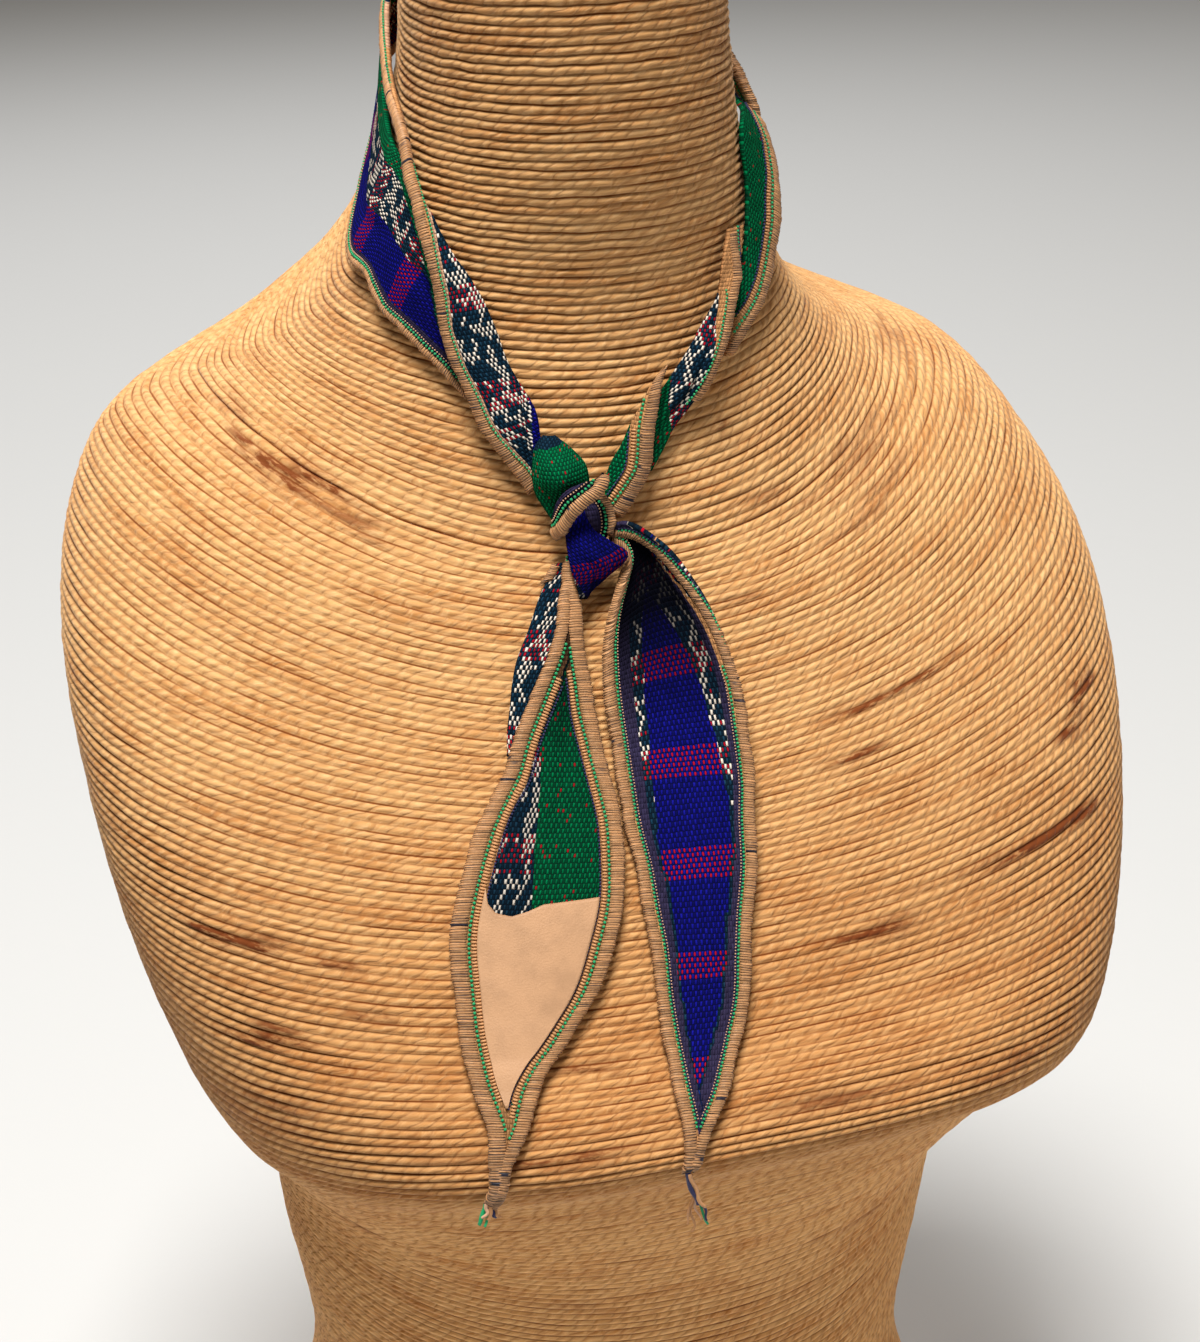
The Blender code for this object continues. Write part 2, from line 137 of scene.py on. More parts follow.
# ---------------------------------------------------------------- scarf
# One row for each section of a stretch, from its top down: its long edges a and b, by their turn in degrees,
# height and gap off the form, and how much further out its middle stands, in mm.
EDGE_COLUMNS = ("a_turn", "a_z", "a_gap", "b_turn", "b_z", "b_gap", "crown")
NECK_BACK = (
    (-128, 610, 4.5, -128, 585, 3.5, 0.5),
    (-155, 616, 4.5, -155, 587, 4, 1),
    (-182, 618, 4.5, -182, 587, 4, 1),
    (-208, 613, 4.5, -208, 583, 4, 1),
    (-236, 601, 5, -236, 576, 3.5, 0.5),
)
NECK_LEFT_UNDER = (
    (-128, 600, 4, -128, 585, 3, 0.5),
    (-114, 589, 4, -122, 569, 2.5, 1),
    (-98, 577, 4, -112, 548, 3.5, 1),
    (-85, 570, 4, -97, 533, 5, 1),
    (-71.5, 565, 4, -82, 529, 5, 1),
    (-61, 550, 4, -71.5, 520, 5, 1),
    (-55, 534, 4, -65, 516, 4.5, 1),
    (-50.5, 519, 4, -57.5, 510, 4, 0.5),
    (-47.5, 511, 3.5, -51.5, 504, 3.5, 0),
    (-44, 502, 3, -46, 497, 2.5, 0),
)
NECK_LEFT_FOLD = (
    (-128, 604, 4.5, -128, 610, 3, 0),
    (-110, 592, 4.5, -110, 596.5, 3, 0),
    (-97, 583, 4.5, -96.5, 587, 3, 0),
    (-83.5, 577, 5, -82.5, 580.5, 3.5, 0),
    (-74, 571, 6, -72.3, 573.2, 4, 0),
    (-68.5, 564, 7, -66.4, 566, 4.6, 0),
    (-64, 557, 7.5, -61.4, 558.5, 4.4, 0.3),
    (-60, 549, 7.5, -56, 551, 3.5, 1),
    (-56.5, 540, 7.5, -50, 542, 3.5, 2),
    (-53.5, 530, 7.5, -43, 532, 3.5, 2.5),
    (-51.5, 519, 7.5, -38, 521, 3.5, 3),
    (-48, 509, 7.5, -34.5, 510, 3.5, 3),
    (-44, 500, 7, -30, 502, 3.5, 3),
    (-40, 490, 6.5, -26.5, 494, 3.5, 3),
    (-35, 481, 5, -25.5, 486, 3, 2),
    (-31.5, 475, 4, -24.5, 479, 2.5, 1),
    (-29, 469, 3, -24.5, 473, 2.5, 0),
)
NECK_RIGHT_A = (
    (124, 576, 3.5, 124, 601, 5, 0.5),
    (120, 575, 3, 110, 595, 6, 0.5),
    (116, 573, 2.5, 97, 587, 6.5, 0),
    (111, 569, 2.5, 85, 578, 7, 0),
    (92, 574, 1.5, 77, 568, 7.6, 0),
    (58, 573, 0.8, 71, 560, 8.2, 0),
    (50, 566, 0.8, 66, 551, 8.4, 0),
    (50, 557, 1.2, 62, 544, 8.6, 0),
    (48, 547, 2, 60, 536, 7.6, 0),
    (44, 533, 2.5, 56, 525, 5, 0.5),
    (39, 520, 2.5, 49, 516, 4, 1),
    (35, 511, 2.5, 41, 510, 3.5, 1),
    (31, 503, 2.5, 34.5, 502.5, 3, 0),
)
NECK_RIGHT_B = (
    (36.8, 541.5, 1.8, 46, 541, 2.4, 0),
    (34.8, 538, 2.4, 43.4, 537, 3.6, 0),
    (32, 532.5, 3.2, 39.6, 531.5, 5.4, 0.5),
    (29.5, 524, 3.5, 35.2, 523.5, 6.6, 1.5),
    (21.5, 513, 3.5, 30.5, 512, 7, 2.5),
    (16, 506, 3.5, 27, 505, 6.5, 3),
    (10, 499, 3, 23, 497, 5, 2.5),
    (5.5, 493, 2.5, 18, 490, 3, 2),
    (3, 486, 2, 13, 485, 2.5, 1.5),
    (1.5, 480, 1.6, 9, 478, 2.2, 1),
    (1, 474, 1.6, 5, 472, 2.2, 0.5),
)
NECK_RIGHT_C = (
    (8, 504, 7, 9.6, 505, 7, 0),
    (3.5, 499, 7, 7, 500, 8.5, 0.5),
    (0.5, 494, 6.5, 5.3, 494, 8.5, 1.5),
    (-2.5, 489, 6, 4, 488, 8.5, 2),
    (-5, 483, 5, 3.2, 482, 8, 2.5),
    (-8, 477, 3, 2.2, 475.5, 7.5, 2.5),
    (-9.5, 472, 1.6, -0.4, 469.5, 6, 2),
    (-10, 466, 1.6, -3.8, 463, 4, 1),
    (-9.5, 462, 1.6, -6, 460, 3.2, 0),
)
KNOT_BALL = (
    (-25.6, 487, 5, -21.2, 486.8, 5.5, 1.5),
    (-26.9, 485.2, 6.2, -18.8, 485, 6.5, 4),
    (-27.4, 482.9, 7, -16.6, 482.6, 7, 6),
    (-27.5, 479, 8, -14.2, 479.4, 8, 7.5),
    (-27.4, 475.2, 8, -13.4, 475.6, 8, 7),
    (-26.9, 471, 7.5, -13.5, 472.4, 7.5, 4),
    (-25.3, 466.7, 7, -15.1, 469.4, 7, 2),
    (-23.9, 463.2, 6.5, -17.6, 466.3, 6.5, 0.5),
    (-22.6, 461.2, 6, -19.8, 463.5, 6, 0),
)
KNOT_LOOP = (
    (-22.9, 459.9, 5, -22, 456.4, 5.5, 0),
    (-22.4, 465.2, 10, -19.7, 459.3, 11.2, 0),
    (-21.7, 469.6, 13.2, -18.3, 462.9, 13.4, 0.5),
    (-20.4, 473.2, 15.6, -16.4, 466.9, 15.3, 1),
    (-18.6, 475.3, 16.6, -14.4, 469.1, 15.7, 1),
    (-16.4, 476.1, 16.2, -12.4, 470.7, 15.5, 1),
    (-14.4, 476, 14.8, -10.4, 472.6, 14.8, 1),
    (-12.4, 476, 12.4, -9.5, 474.7, 13.5, 1),
    (-11.1, 476.1, 10.4, -10, 475.9, 11.4, 0),
)
KNOT_EDGE = (
    (-16, 468, 5.5, -10.5, 470, 9.4, 0),
    (-16, 465, 5.5, -8.5, 466.5, 9.6, 0.5),
    (-15.5, 461.5, 5.5, -8, 463.5, 9.6, 0.5),
    (-14, 458, 5.5, -8.2, 460.6, 9.5, 0.5),
    (-12, 455.5, 6, -9.3, 457.3, 8.6, 0),
)
KNOT_CENTRE = (
    (-20, 461, 7, -14.5, 466, 10, 0.5),
    (-20, 457, 8, -13, 461, 10, 2),
    (-19.5, 452, 9, -9, 456, 9.5, 3),
    (-19, 448, 9, -5.4, 451.5, 9, 3),
    (-18, 444, 9, -11, 446, 8, 2),
    (-17.5, 441, 9, -15, 441, 8, 0.5),
)
TAIL_LEFT_FOLD = (
    (-22.6, 449, 2.5, -19.6, 449, 2.5, 0),
    (-24.5, 445, 2.5, -20.2, 445, 2.5, 0),
    (-26.2, 440, 2.5, -20.8, 439, 2.5, 0),
    (-27.5, 433, 2.5, -21, 432, 2.5, 0),
    (-29, 426, 2.5, -22.6, 425, 2.5, 0),
    (-29.5, 420, 2.5, -24.5, 419, 2.5, 0),
    (-29.5, 413, 2.5, -26, 412, 2.5, 0),
    (-29.5, 406, 2.5, -27, 405, 2.5, 0),
    (-29, 401, 2.5, -28, 400, 2.5, 0),
)
TAIL_LEFT = (
    (-20.6, 451, 4.5, -17.2, 451, 5, 0),
    (-21, 446, 5.2, -17.3, 445.5, 5, 0),
    (-21.6, 441, 6.3, -16.8, 440.2, 5.3, 0.5),
    (-22.1, 434, 6.8, -16.5, 433, 5.2, 0.5),
    (-23.3, 426.5, 6.6, -16.2, 425, 4.2, 0.5),
    (-25, 419, 6.2, -15.5, 417, 3.5, 0.5),
    (-26.5, 412, 6.2, -15, 409, 3.5, 0.5),
    (-28, 404, 6.2, -14, 400, 3.5, 0.8),
    (-29, 396, 4.5, -13, 392, 4, 1),
    (-31, 387, 4, -12, 382, 3.5, 1),
    (-32, 378, 4, -12, 373, 3.5, 1),
    (-32.5, 367, 4, -12.5, 362, 3.5, 1),
    (-32.5, 357, 3.5, -14, 352, 4, 1),
    (-31.5, 345, 3.5, -16, 341, 3.5, 1),
    (-30.5, 334, 3.5, -19, 331, 3.5, 0.8),
    (-29, 323, 3.5, -22, 321, 4, 0.5),
    (-27, 312, 3, -23, 311, 3, 0.3),
    (-26.5, 302, 3, -24.5, 302, 3, 0),
    (-26.5, 295, 3, -25, 294, 3, 0),
    (-27, 289, 3, -26.5, 287, 3, 0),
)
TAIL_RIGHT = (
    (-9.3, 453.3, 4.4, -9.8, 459.8, 6.3, 0),
    (-7.4, 452, 5.2, -7.3, 462.3, 10.2, -1),
    (-6.2, 450.6, 6.2, -4.2, 462.2, 13, -2),
    (-6.4, 447, 6.8, -0.4, 459, 15, -4),
    (-8.2, 443, 7.2, 4.2, 452.5, 16.2, -7),
    (-11, 436, 7.5, 7.6, 443.5, 16.2, -8.5),
    (-12.5, 429, 7, 9.7, 434.5, 14.6, -8),
    (-13, 422, 6.5, 10.6, 424.5, 13, -6.5),
    (-13, 413, 6, 10.7, 413, 12, -5),
    (-12.5, 402, 5, 10, 400, 10, -3.5),
    (-12, 392, 4.5, 9, 387, 7.5, -2),
    (-11.5, 381, 3.5, 7.5, 377, 6, -1),
    (-10.5, 370, 3.5, 6, 365, 5, -0.5),
    (-10, 359, 3.5, 4, 354, 4.5, 0),
    (-9.5, 349, 3.5, 2.5, 344, 5, 0),
    (-9.5, 335, 3.5, 1, 332, 4.5, 0),
    (-9, 319, 4, -2.5, 317, 4.5, 0),
    (-8.5, 307, 3.5, -5.5, 306, 3.5, 0),
    (-8.5, 299, 3, -7, 298, 3, 0),
    (-8.5, 294, 3, -8, 294, 3, 0),
)
ACROSS = 26              # points from one long edge of a sheet to the other
STEP = 1.2 * MM          # between a sheet's sections
HEM_REACH = 1.6          # mm that an overlocked edge's thread reaches past the cloth
FOLD_REACH = 1.0         # mm that any other edge rounds past the cloth's middle
MOST_REACH = 0.3         # of a stretch's width, at most, is taken by either

# Threads are counted in from the edge named "measured" ("m" is the stretch's middle). Bands of red weft
# cross it every BAND_PITCH, from band_start mm below its top, and rise by "slant" across it. "pulled" is the
# share of its loose pitch that the weave is drawn to there.
SHEET_COLUMNS = ("node", "table", "slot", "hems", "measured", "band_start", "slant", "flat_width",
                 "flat_length", "flat_share", "pulled", "held")
SHEETS = (
    ("neck_back", NECK_BACK, "weave_ikat", "ab", "b", 10, 0, 32, 140, 0.8, 0.9, "folded"),
    ("neck_left_under", NECK_LEFT_UNDER, "weave_blue", "b", "b", 28, 0, 42, 140, 0.55, 0.85, "folded"),
    ("neck_left_fold", NECK_LEFT_FOLD, "weave_ikat", "a", "a", 21, 0, 18, 176, 0.42, 0.84, "folded"),
    ("neck_right_a", NECK_RIGHT_A, "weave_green", "b", "b", 25, 0, 30, 143, 0.42, 0.85, "folded"),
    ("neck_right_b", NECK_RIGHT_B, "weave_ikat", "b", "b", 29, 0, 15, 85, 0.48, 0.84, "folded"),
    ("neck_right_c", NECK_RIGHT_C, "weave_green", "b", "b", 30, 0, 14, 50, 0.48, 0.84, "folded"),
    ("knot_ball", KNOT_BALL, "weave_green", "", "m", 18, 0, 20, 29, 0.8, 0.74, "folded"),
    ("knot_loop", KNOT_LOOP, "overlock", "b", "b", 60, 0, 10, 36, 0.4, 1, "folded"),
    ("knot_edge", KNOT_EDGE, "overlock", "b", "b", 60, 0, 12, 15, 0.5, 1, "folded"),
    ("knot_centre", KNOT_CENTRE, "weave_blue", "", "m", 14, 0, 17, 34, 0.48, 0.84, "folded"),
    ("tail_left_fold", TAIL_LEFT_FOLD, "weave_ikat", "", "a", 22, 0, 12, 62, 0.5, 0.9, "folded"),
    ("tail_left", TAIL_LEFT, "weave_green", "ab", "m", 24, 0, 51, 210, 0.45, 0.95, "draped"),
    ("tail_right", TAIL_RIGHT, "weave_blue", "ab", "m", 15, 0.1, 43, 222, 0.58, 1, "draped"),
)
BAND_PITCH = 31          # mm
BAND_SHARE = 0.3         # of the pitch that is red

# The stripes of each stretch, from its edge a to its edge b. Each ends so many mm in from the edge named, or
# from the middle towards b, at the stretch's top and at its bottom. The last one goes on to edge b.
STRIPE_COLUMNS = ("node", "kind", "edge", "top", "bottom")
STRIPES = (
    ("neck_back", "green", "b", 17, 17),
    ("neck_back", "ikat", "b", 8, 8),
    ("neck_back", "blue", "b", 0, 0),
    ("neck_left_under", "green", "a", 8, 4),
    ("neck_left_under", "ikat", "b", 18, 21),
    ("neck_left_under", "blue", "b", 5.6, 5.6),
    ("neck_left_under", "violet", "b", 0, 0),
    ("neck_left_fold", "tan", "a", 4, 4),
    ("neck_left_fold", "rose", "a", 4.9, 4.9),
    ("neck_left_fold", "ikat", "b", -34, 6.5),
    ("neck_left_fold", "blue", "b", 0, 0),
    ("neck_right_a", "green", "b", 8, 8),
    ("neck_right_a", "tan", "b", 0, 0),
    ("neck_right_b", "green", "a", -20.5, 14.8),
    ("neck_right_b", "ikat", "b", 10, -3),
    ("neck_right_b", "tan", "b", 0, 0),
    ("neck_right_c", "green", "b", 7, 7),
    ("neck_right_c", "tan", "b", 0, 0),
    ("knot_ball", "navy", "a", 20, -71),
    ("knot_ball", "green", "b", 0, 0),
    ("knot_loop", "violet", "b", 6.6, 6.6),
    ("knot_loop", "dark", "b", 0, 0),
    ("knot_edge", "violet", "b", 4.6, 4.6),
    ("knot_edge", "dark", "b", 0, 0),
    ("knot_centre", "ikat", "a", -2, 2.5),
    ("knot_centre", "blue", "b", 0, 0),
    ("tail_left_fold", "ikat", "b", 0, 0),
    ("tail_left", "tan", "a", 6.6, 11),
    ("tail_left", "ikat", "m", -9.5, 3),
    ("tail_left", "green", "b", 7.6, 8.2),
    ("tail_left", "tan", "b", 0, 0),
    ("tail_right", "tan", "a", 4.2, 4.2),
    ("tail_right", "violet", "a", 10.4, 6.6),
    ("tail_right", "ikat", "a", 17.5, 0),
    ("tail_right", "blue", "b", 17.5, -3.5),
    ("tail_right", "ikat", "b", 5, 9.5),
    ("tail_right", "violet", "b", 4.2, 4.2),
    ("tail_right", "tan", "b", 6.5, -13.5),
    ("tail_right", "ikat", "b", 0, 0),
)
PAST_EDGE = 60           # mm: more than any stretch is wide
PLAIN_UNDER = 0.9        # mm: a narrower ikat stripe shows its ground alone
PLAIN_AROUND = 2.6       # mm from where such a stripe starts

# Soft ridges and troughs (below 0) pressed into the cloth: where each runs, in mm in from an edge or from
# the middle at its start and its end, how far down the stretch it starts and ends, its height and its width.
CREASE_COLUMNS = ("node", "edge", "first", "last", "start", "end", "height", "width")
CREASES = (
    ("tail_left", "m", -10.5, -8.5, 70, 124, 0.9, 2.6),
    ("tail_left", "m", -6.5, -5.0, 62, 118, -0.7, 2.8),
    ("tail_left", "m", 4, 1, 24, 90, -0.6, 4.5),
    ("tail_left", "m", 10, 5, 88, 128, 0.5, 6),
    ("tail_right", "m", -4, 2, 30, 96, -0.9, 7),
    ("tail_right", "m", 6, -1, 90, 150, 0.5, 6),
    ("tail_right", "b", 9, 8, 20, 74, -0.9, 3),
    ("neck_left_under", "b", 12, 20, 34, 112, -0.8, 4),
    ("neck_left_under", "b", 22, 9, 52, 126, 0.7, 5),
    ("neck_left_fold", "b", -1, 6.5, 138, 176, -1.1, 1.8),
    ("neck_left_fold", "a", 9, 8, 104, 170, 0.6, 3.5),
    ("neck_right_a", "b", 12, 10, 30, 110, -0.6, 3.5),
    ("neck_right_b", "b", 5.4, 5.6, 10, 76, -0.9, 1.6),
    ("neck_right_b", "b", 9, 8, 34, 74, 0.5, 2.4),
    ("knot_centre", "m", -4, 3.5, 12, 30, -1.1, 2.2),
    ("knot_centre", "m", 5, 2, 4, 22, -0.8, 2.0),
    ("knot_ball", "m", 3, -1, 2, 12, -0.4, 3),
    ("tail_left_fold", "a", 3, 4, 6, 44, 0.6, 2),
)

# An overlocked edge: how wide the rolled thread is at the stretch's top and further down, how thick, how
# many of its loops show dark, which face of the strip it shows, how far it is rolled in at the top, and the
# share of the stretch's length at which it ends.
HEM_COLUMNS = ("node", "edge", "top_width", "width", "thickness", "dark", "face", "rolled", "end")
HEMS = (
    ("neck_back", "a", 5, 5, 2.8, 0.10, "right", 0, 1),
    ("neck_back", "b", 3.6, 3.6, 2.8, 0.10, "wrong", 0, 1),
    ("neck_left_under", "b", 2.2, 2.2, 2.4, 0.25, "wrong", 0, 1),
    ("neck_left_fold", "a", 3.0, 3.7, 3.2, 0.40, "plain", 0, 1),
    ("neck_right_a", "b", 4.4, 4.6, 3.0, 0.24, "right", 0, 1),
    ("neck_right_b", "b", 3.2, 3.8, 3.2, 0.22, "plain", 5.6, 0.72),
    ("neck_right_c", "b", 3.0, 4.6, 3.4, 0.50, "narrow", 0, 1),
    ("knot_loop", "b", 3.8, 4.3, 3.8, 0.85, "knot", 0, 1),
    ("knot_edge", "b", 2.2, 2.4, 2.8, 0.70, "knot", 0, 1),
    ("tail_left_fold", "a", 3.2, 3.2, 4.4, 0.60, "bare", 0, 0.14),
    ("tail_left", "a", 3.6, 5.0, 3.4, 0.32, "right", 1.0, 1),
    ("tail_left", "b", 4.8, 4.4, 3.4, 0.12, "narrow", 0, 1),
    ("tail_right", "a", 3.4, 3.5, 3.0, 0.14, "wrong", 0, 1),
    ("tail_right", "b", 3.0, 3.6, 3.2, 0.30, "wrong", 5.0, 1),
)
ROLLED_SHARE = 0.27      # of a stretch's length, over which a rolled edge comes back out
WIDENED_SHARE = 0.45     # of its length, over which the thread goes from its top width to its width
MOST_INSET = 0.95        # of a stretch's width, at most, lies between an edge and its stitches
LOOP_PITCH = 0.78 * MM   # between two loops of the overlock
LOOP_STEPS = 4           # sections to a loop
LOOP_ROUND = 12          # points round the thread

# Rows of stitches beside an overlocked edge, for each face: how far past the rolled thread each row lies,
# then each stitch's length across and along the edge, its height and the pitch, all in mm.
STITCH_COLUMNS = ("beyond", "across", "along", "height", "pitch", "thread")
STITCH_RISE = 0.12 * MM
STITCHES = {
    "right": ((0.5, 1.15, 1.15, 1.3, 1.35, "green"), (2.2, 2.8, 0.86, 0.7, 1.0, "tan"),
              (4.0, 0.8, 0.95, 1.3, 1.05, "navy")),
    "narrow": ((0.45, 1.1, 1.15, 1.3, 1.35, "green"), (1.8, 2.1, 0.86, 0.7, 1.0, "tan"),
               (3.3, 0.8, 0.95, 1.3, 1.05, "navy")),
    "wrong": ((0.5, 1.05, 1.0, 1.2, 1.2, "green"), (1.4, 0.55, 0.55, 0.6, 0.95, "rose")),
    "knot": ((0.6, 1.1, 1.0, 1.2, 1.2, "green"), (1.85, 0.6, 0.6, 0.7, 0.9, "rose")),
    "bare": (),
    "plain": ((0.35, 0.8, 1.0, 1.0, 1.2, "green"),),
    "rolled": ((-0.4, 0.9, 1.0, 1.1, 1.2, "green"), (-1.2, 0.45, 0.9, 0.6, 1.0, "navy")),
}

# Painted shade darkens the cloth in a fold's hollow and across whole stretches: where down the stretch it
# starts and stops fading, how dark it is at its deepest and at its lightest, and how far in from edge b it
# begins.
SHADE_COLUMNS = ("node", "start", "stop", "deepest", "lightest", "inset")
PAINTED_SHADES = (
    ("tail_right", 30, 66, 0.985, 0, 4.5),
    ("knot_centre", 27, 9, 0.85, 0.08, 0),
    ("neck_left_under", 150, 96, 0.5, 0, 0),
    ("tail_left", 26, 62, 0.94, 0.3, 0),
)
SHADE_BLEND = 1.5        # mm over which the painted shade begins beside edge b

# Loose thread ends: where each leaves the cloth, how far it hangs and drifts towards +X, and how it curls.
END_COLUMNS = ("thread", "turn", "z", "gap", "length", "drift", "curl", "thickness")
ENDS = (
    ("tan", -26.6, 290, 3.2, 5, -0.8, 0.4, 2.2),
    ("green", -27.0, 289, 3.0, 6, -2.8, 0.5, 1.9),
    ("green", -26.8, 289, 3.8, 6, -2.4, 0.7, 1.3),
    ("navy", -26.7, 289, 4.0, 4, 1.8, 0.6, 1.6),
    ("rose", -26.9, 290, 4.0, 4, -1.6, 0.8, 1.3),
    ("tan", -26.5, 289, 3.4, 4, 1.8, 0.8, 1.2),
    ("navy", -8.4, 295, 3.4, 12, 3.2, 0.5, 2.0),
    ("tan", -8.3, 294.5, 4.0, 12, 3.6, 0.8, 1.5),
    ("tan", -7.5, 284, 5.0, 11, -2.6, 0.9, 1.0),
    ("tan", -7.4, 284, 5.2, 14, -0.8, 1.4, 1.0),
    ("rose", -7.4, 284, 5.0, 10, 1.4, 1.0, 0.8),
    ("navy", -7.3, 284, 5.2, 11, 4.0, 1.0, 1.1),
    ("green", -7.3, 284, 5.0, 13, 4.4, 0.7, 1.1),
)

# the label's top edge: its share of the way across, and its height in mm
LABEL_TOP = ((0, 370.5), (0.05, 366.5), (0.13, 364), (0.27, 362.8), (0.4, 363.6), (0.52, 364.8), (1, 364.4))
LABEL_MARGIN = 7.8 * MM  # from the tail's edges to the label's
LABEL_ACROSS = 41        # points across it
LABEL_LEAST = 0.6 * MM   # its width where it ends in a point
LEATHER = 0.9 * MM


def named(columns, table, node=None):
    """The rows of a table as dictionaries, all of them or those of one stretch."""
    rows = [dict(zip(columns, values)) for values in table]
    return [row for row in rows if node in (None, row.get("node"))]


# ---------------------------------------------------------------- sizes and colours a user may change
def length(name, about, value):
    """A size in metres, from nothing up."""
    return FloatProperty(name=name, description=about, default=value, min=0, unit="LENGTH", precision=4)


def colour(name, about, value):
    """A linear colour."""
    return FloatVectorProperty(name=name, description=about, default=value, size=3, min=0, max=1,
                               subtype="COLOR")


class RopeSettings(bpy.types.PropertyGroup):
    """The rope wound round the form"""
    pitch: length("Rope pitch", "From one turn of the jute rope to the next", 2.85 * MM)
    wander: length("Wander", "How far a turn strays up and down", 0.28 * MM)
    jute: colour("Jute", "The rope in full light", (0.620, 0.352, 0.142))
    shade: colour("Jute, darker turns", "The rope's darker yarns", (0.480, 0.215, 0.064))
    stain: colour("Stain", "The brown stains along single turns", (0.170, 0.044, 0.009))


class ClothSettings(bpy.types.PropertyGroup):
    """The woven strip and its label"""
    thickness: length("Cloth thickness", "The woven cloth, without its overlock", 1.5 * MM)
    warp: length("Warp pitch", "From one thread to the next across the strip", 0.80 * MM)
    weft: length("Weft pitch", "From one thread to the next along the strip", 1.65 * MM)
    green: colour("Green", "The green stripe", (0.0008, 0.215, 0.075))
    blue: colour("Blue", "The blue stripe", (0.008, 0.009, 0.270))
    navy: colour("Navy", "The ikat stripe's ground", (0.010, 0.042, 0.080))
    white: colour("White", "The undyed yarn of the ikat", (0.780, 0.720, 0.640))
    red: colour("Red", "The weft bands", (0.370, 0.005, 0.016))
    violet: colour("Violet", "The satin thread beside the blue", (0.036, 0.030, 0.075))
    leather: colour("Leather", "The plain leather label", (0.520, 0.300, 0.165))


class ThreadSettings(bpy.types.PropertyGroup):
    """The sewing threads"""
    tan: colour("Tan thread", "The overlock's main thread", (0.570, 0.285, 0.120))
    green: colour("Green thread", "The needle thread", (0.006, 0.330, 0.120))
    navy: colour("Navy thread", "The second needle thread", (0.016, 0.016, 0.080))
    rose: colour("Rose thread", "The fine looper thread", (0.620, 0.360, 0.230))


class StageSettings(bpy.types.PropertyGroup):
    """The floor it stands on"""
    floor: colour("Floor", "The plain floor", (0.60, 0.62, 0.64))
    reach: length("Reach", "Half the floor's width", 9.0)


# ---------------------------------------------------------------- geometry
def rows_at(table, at):
    """A table's rows at fractional places, along Catmull-Rom curves through them, one array a column."""
    values = np.array(table, float)
    last = len(values) - 1
    i = np.clip(np.asarray(at).astype(int), 0, last - 1)
    f = (at - i)[:, None]
    a, b, c, d = (values[np.clip(i + k, 0, last)] for k in (-1, 0, 1, 2))
    return (b + 0.5 * f * (c - a + f * (2 * a - 5 * b + 4 * c - d + f * (3 * (b - c) + d - a)))).T


def unit(vectors):
    """The same ways, one unit long."""
    return vectors / np.maximum(np.linalg.norm(vectors, axis=-1, keepdims=True), 1e-12)


def run(points, axis=0):
    """Distances along a grid's points, from nothing at its start."""
    steps = np.linalg.norm(np.diff(points, axis=axis), axis=-1)
    start = np.zeros_like(np.take(steps, [0], axis=axis))
    return np.concatenate([start, np.cumsum(steps, axis=axis)], axis=axis)


def placed(name, data):
    """A new object at the origin of the scene."""
    thing = bpy.data.objects.new(name, data)
    bpy.context.scene.collection.objects.link(thing)
    return thing


def lattice(name, points, uv, tube=False, attributes=()):
    """A smooth grid of faces with its vertices at points[row, column]. A tube is joined round and capped."""
    rows, columns = points.shape[:2]
    grid = bmesh.new()
    bmesh.ops.create_grid(grid, x_segments=columns - 1, y_segments=rows - 1, size=0.5)
    mesh = bpy.data.meshes.new(name)
    grid.to_mesh(mesh)
    grid.free()
    mesh.vertices.foreach_set("co", points.reshape(-1))
    corners = np.empty(len(mesh.loops), int)
    mesh.loops.foreach_get("vertex_index", corners)
    layer = mesh.uv_layers.new(name="UVMap")
    layer.data.foreach_set("uv", uv.reshape(-1, 2)[corners].reshape(-1))
    for key, values in attributes:
        mesh.attributes.new(key, "FLOAT", "POINT").data.foreach_set("value", values.reshape(-1))
    if tube:
        work = bmesh.new()
        work.from_mesh(mesh)
        bmesh.ops.remove_doubles(work, verts=work.verts, dist=1e-6)
        bmesh.ops.holes_fill(work, edges=[e for e in work.edges if e.is_boundary], sides=0)
        bmesh.ops.recalc_face_normals(work, faces=work.faces)
        work.to_mesh(mesh)
        work.free()
    mesh.shade_smooth()
    return placed(name, mesh)


def form_rings(at, columns):
    """Rings of the form, from behind round by -X to the front and back, one row each; at < 0 is the cap."""
    row = {k: v[:, None] for k, v in zip(FORM_COLUMNS, rows_at(FORM_ROWS, np.maximum(at, 0)))}
    angle = np.linspace(0.5 * math.pi, 2.5 * math.pi, columns + 1)[None, :]
    across, along = np.cos(angle), np.sin(angle)
    front = along < 0
    power = 2 / np.where(front, row["squareness"], BACK_SQUARENESS)
    reach = np.where(front, row["side_y"] - row["front_y"], row["back_y"] - row["side_y"])
    end_z = np.where(front, row["front_z"], row["back_z"])
    x = np.sign(across) * np.abs(across) ** power * row["half_width"]
    y = row["side_y"] + np.sign(along) * np.abs(along) ** power * reach
    z = row["side_z"] + (end_z - row["side_z"]) * along ** 2
    points = np.stack([x, y, z], axis=-1) * MM + np.array(AXIS)
    lean = np.minimum(at, 0)[:, None, None] * -0.5 * math.pi
    middle = points[:, :-1].mean(axis=1, keepdims=True)
    points = middle + (points - middle) * np.cos(lean)
    points[..., 2] += CAP_RISE * np.sin(lean[..., 0])
    return points


def outward(points):
    """Unit normals of a grid of points, pointing away from the neck's axis."""
    normals = unit(np.cross(np.gradient(points, axis=1), np.gradient(points, axis=0)))
    middle = points[points.shape[0] // 2, points.shape[1] // 2]
    facing = normals[points.shape[0] // 2, points.shape[1] // 2]
    away = middle - np.array(AXIS)
    return normals if facing[:2] @ away[:2] > 0 else -normals


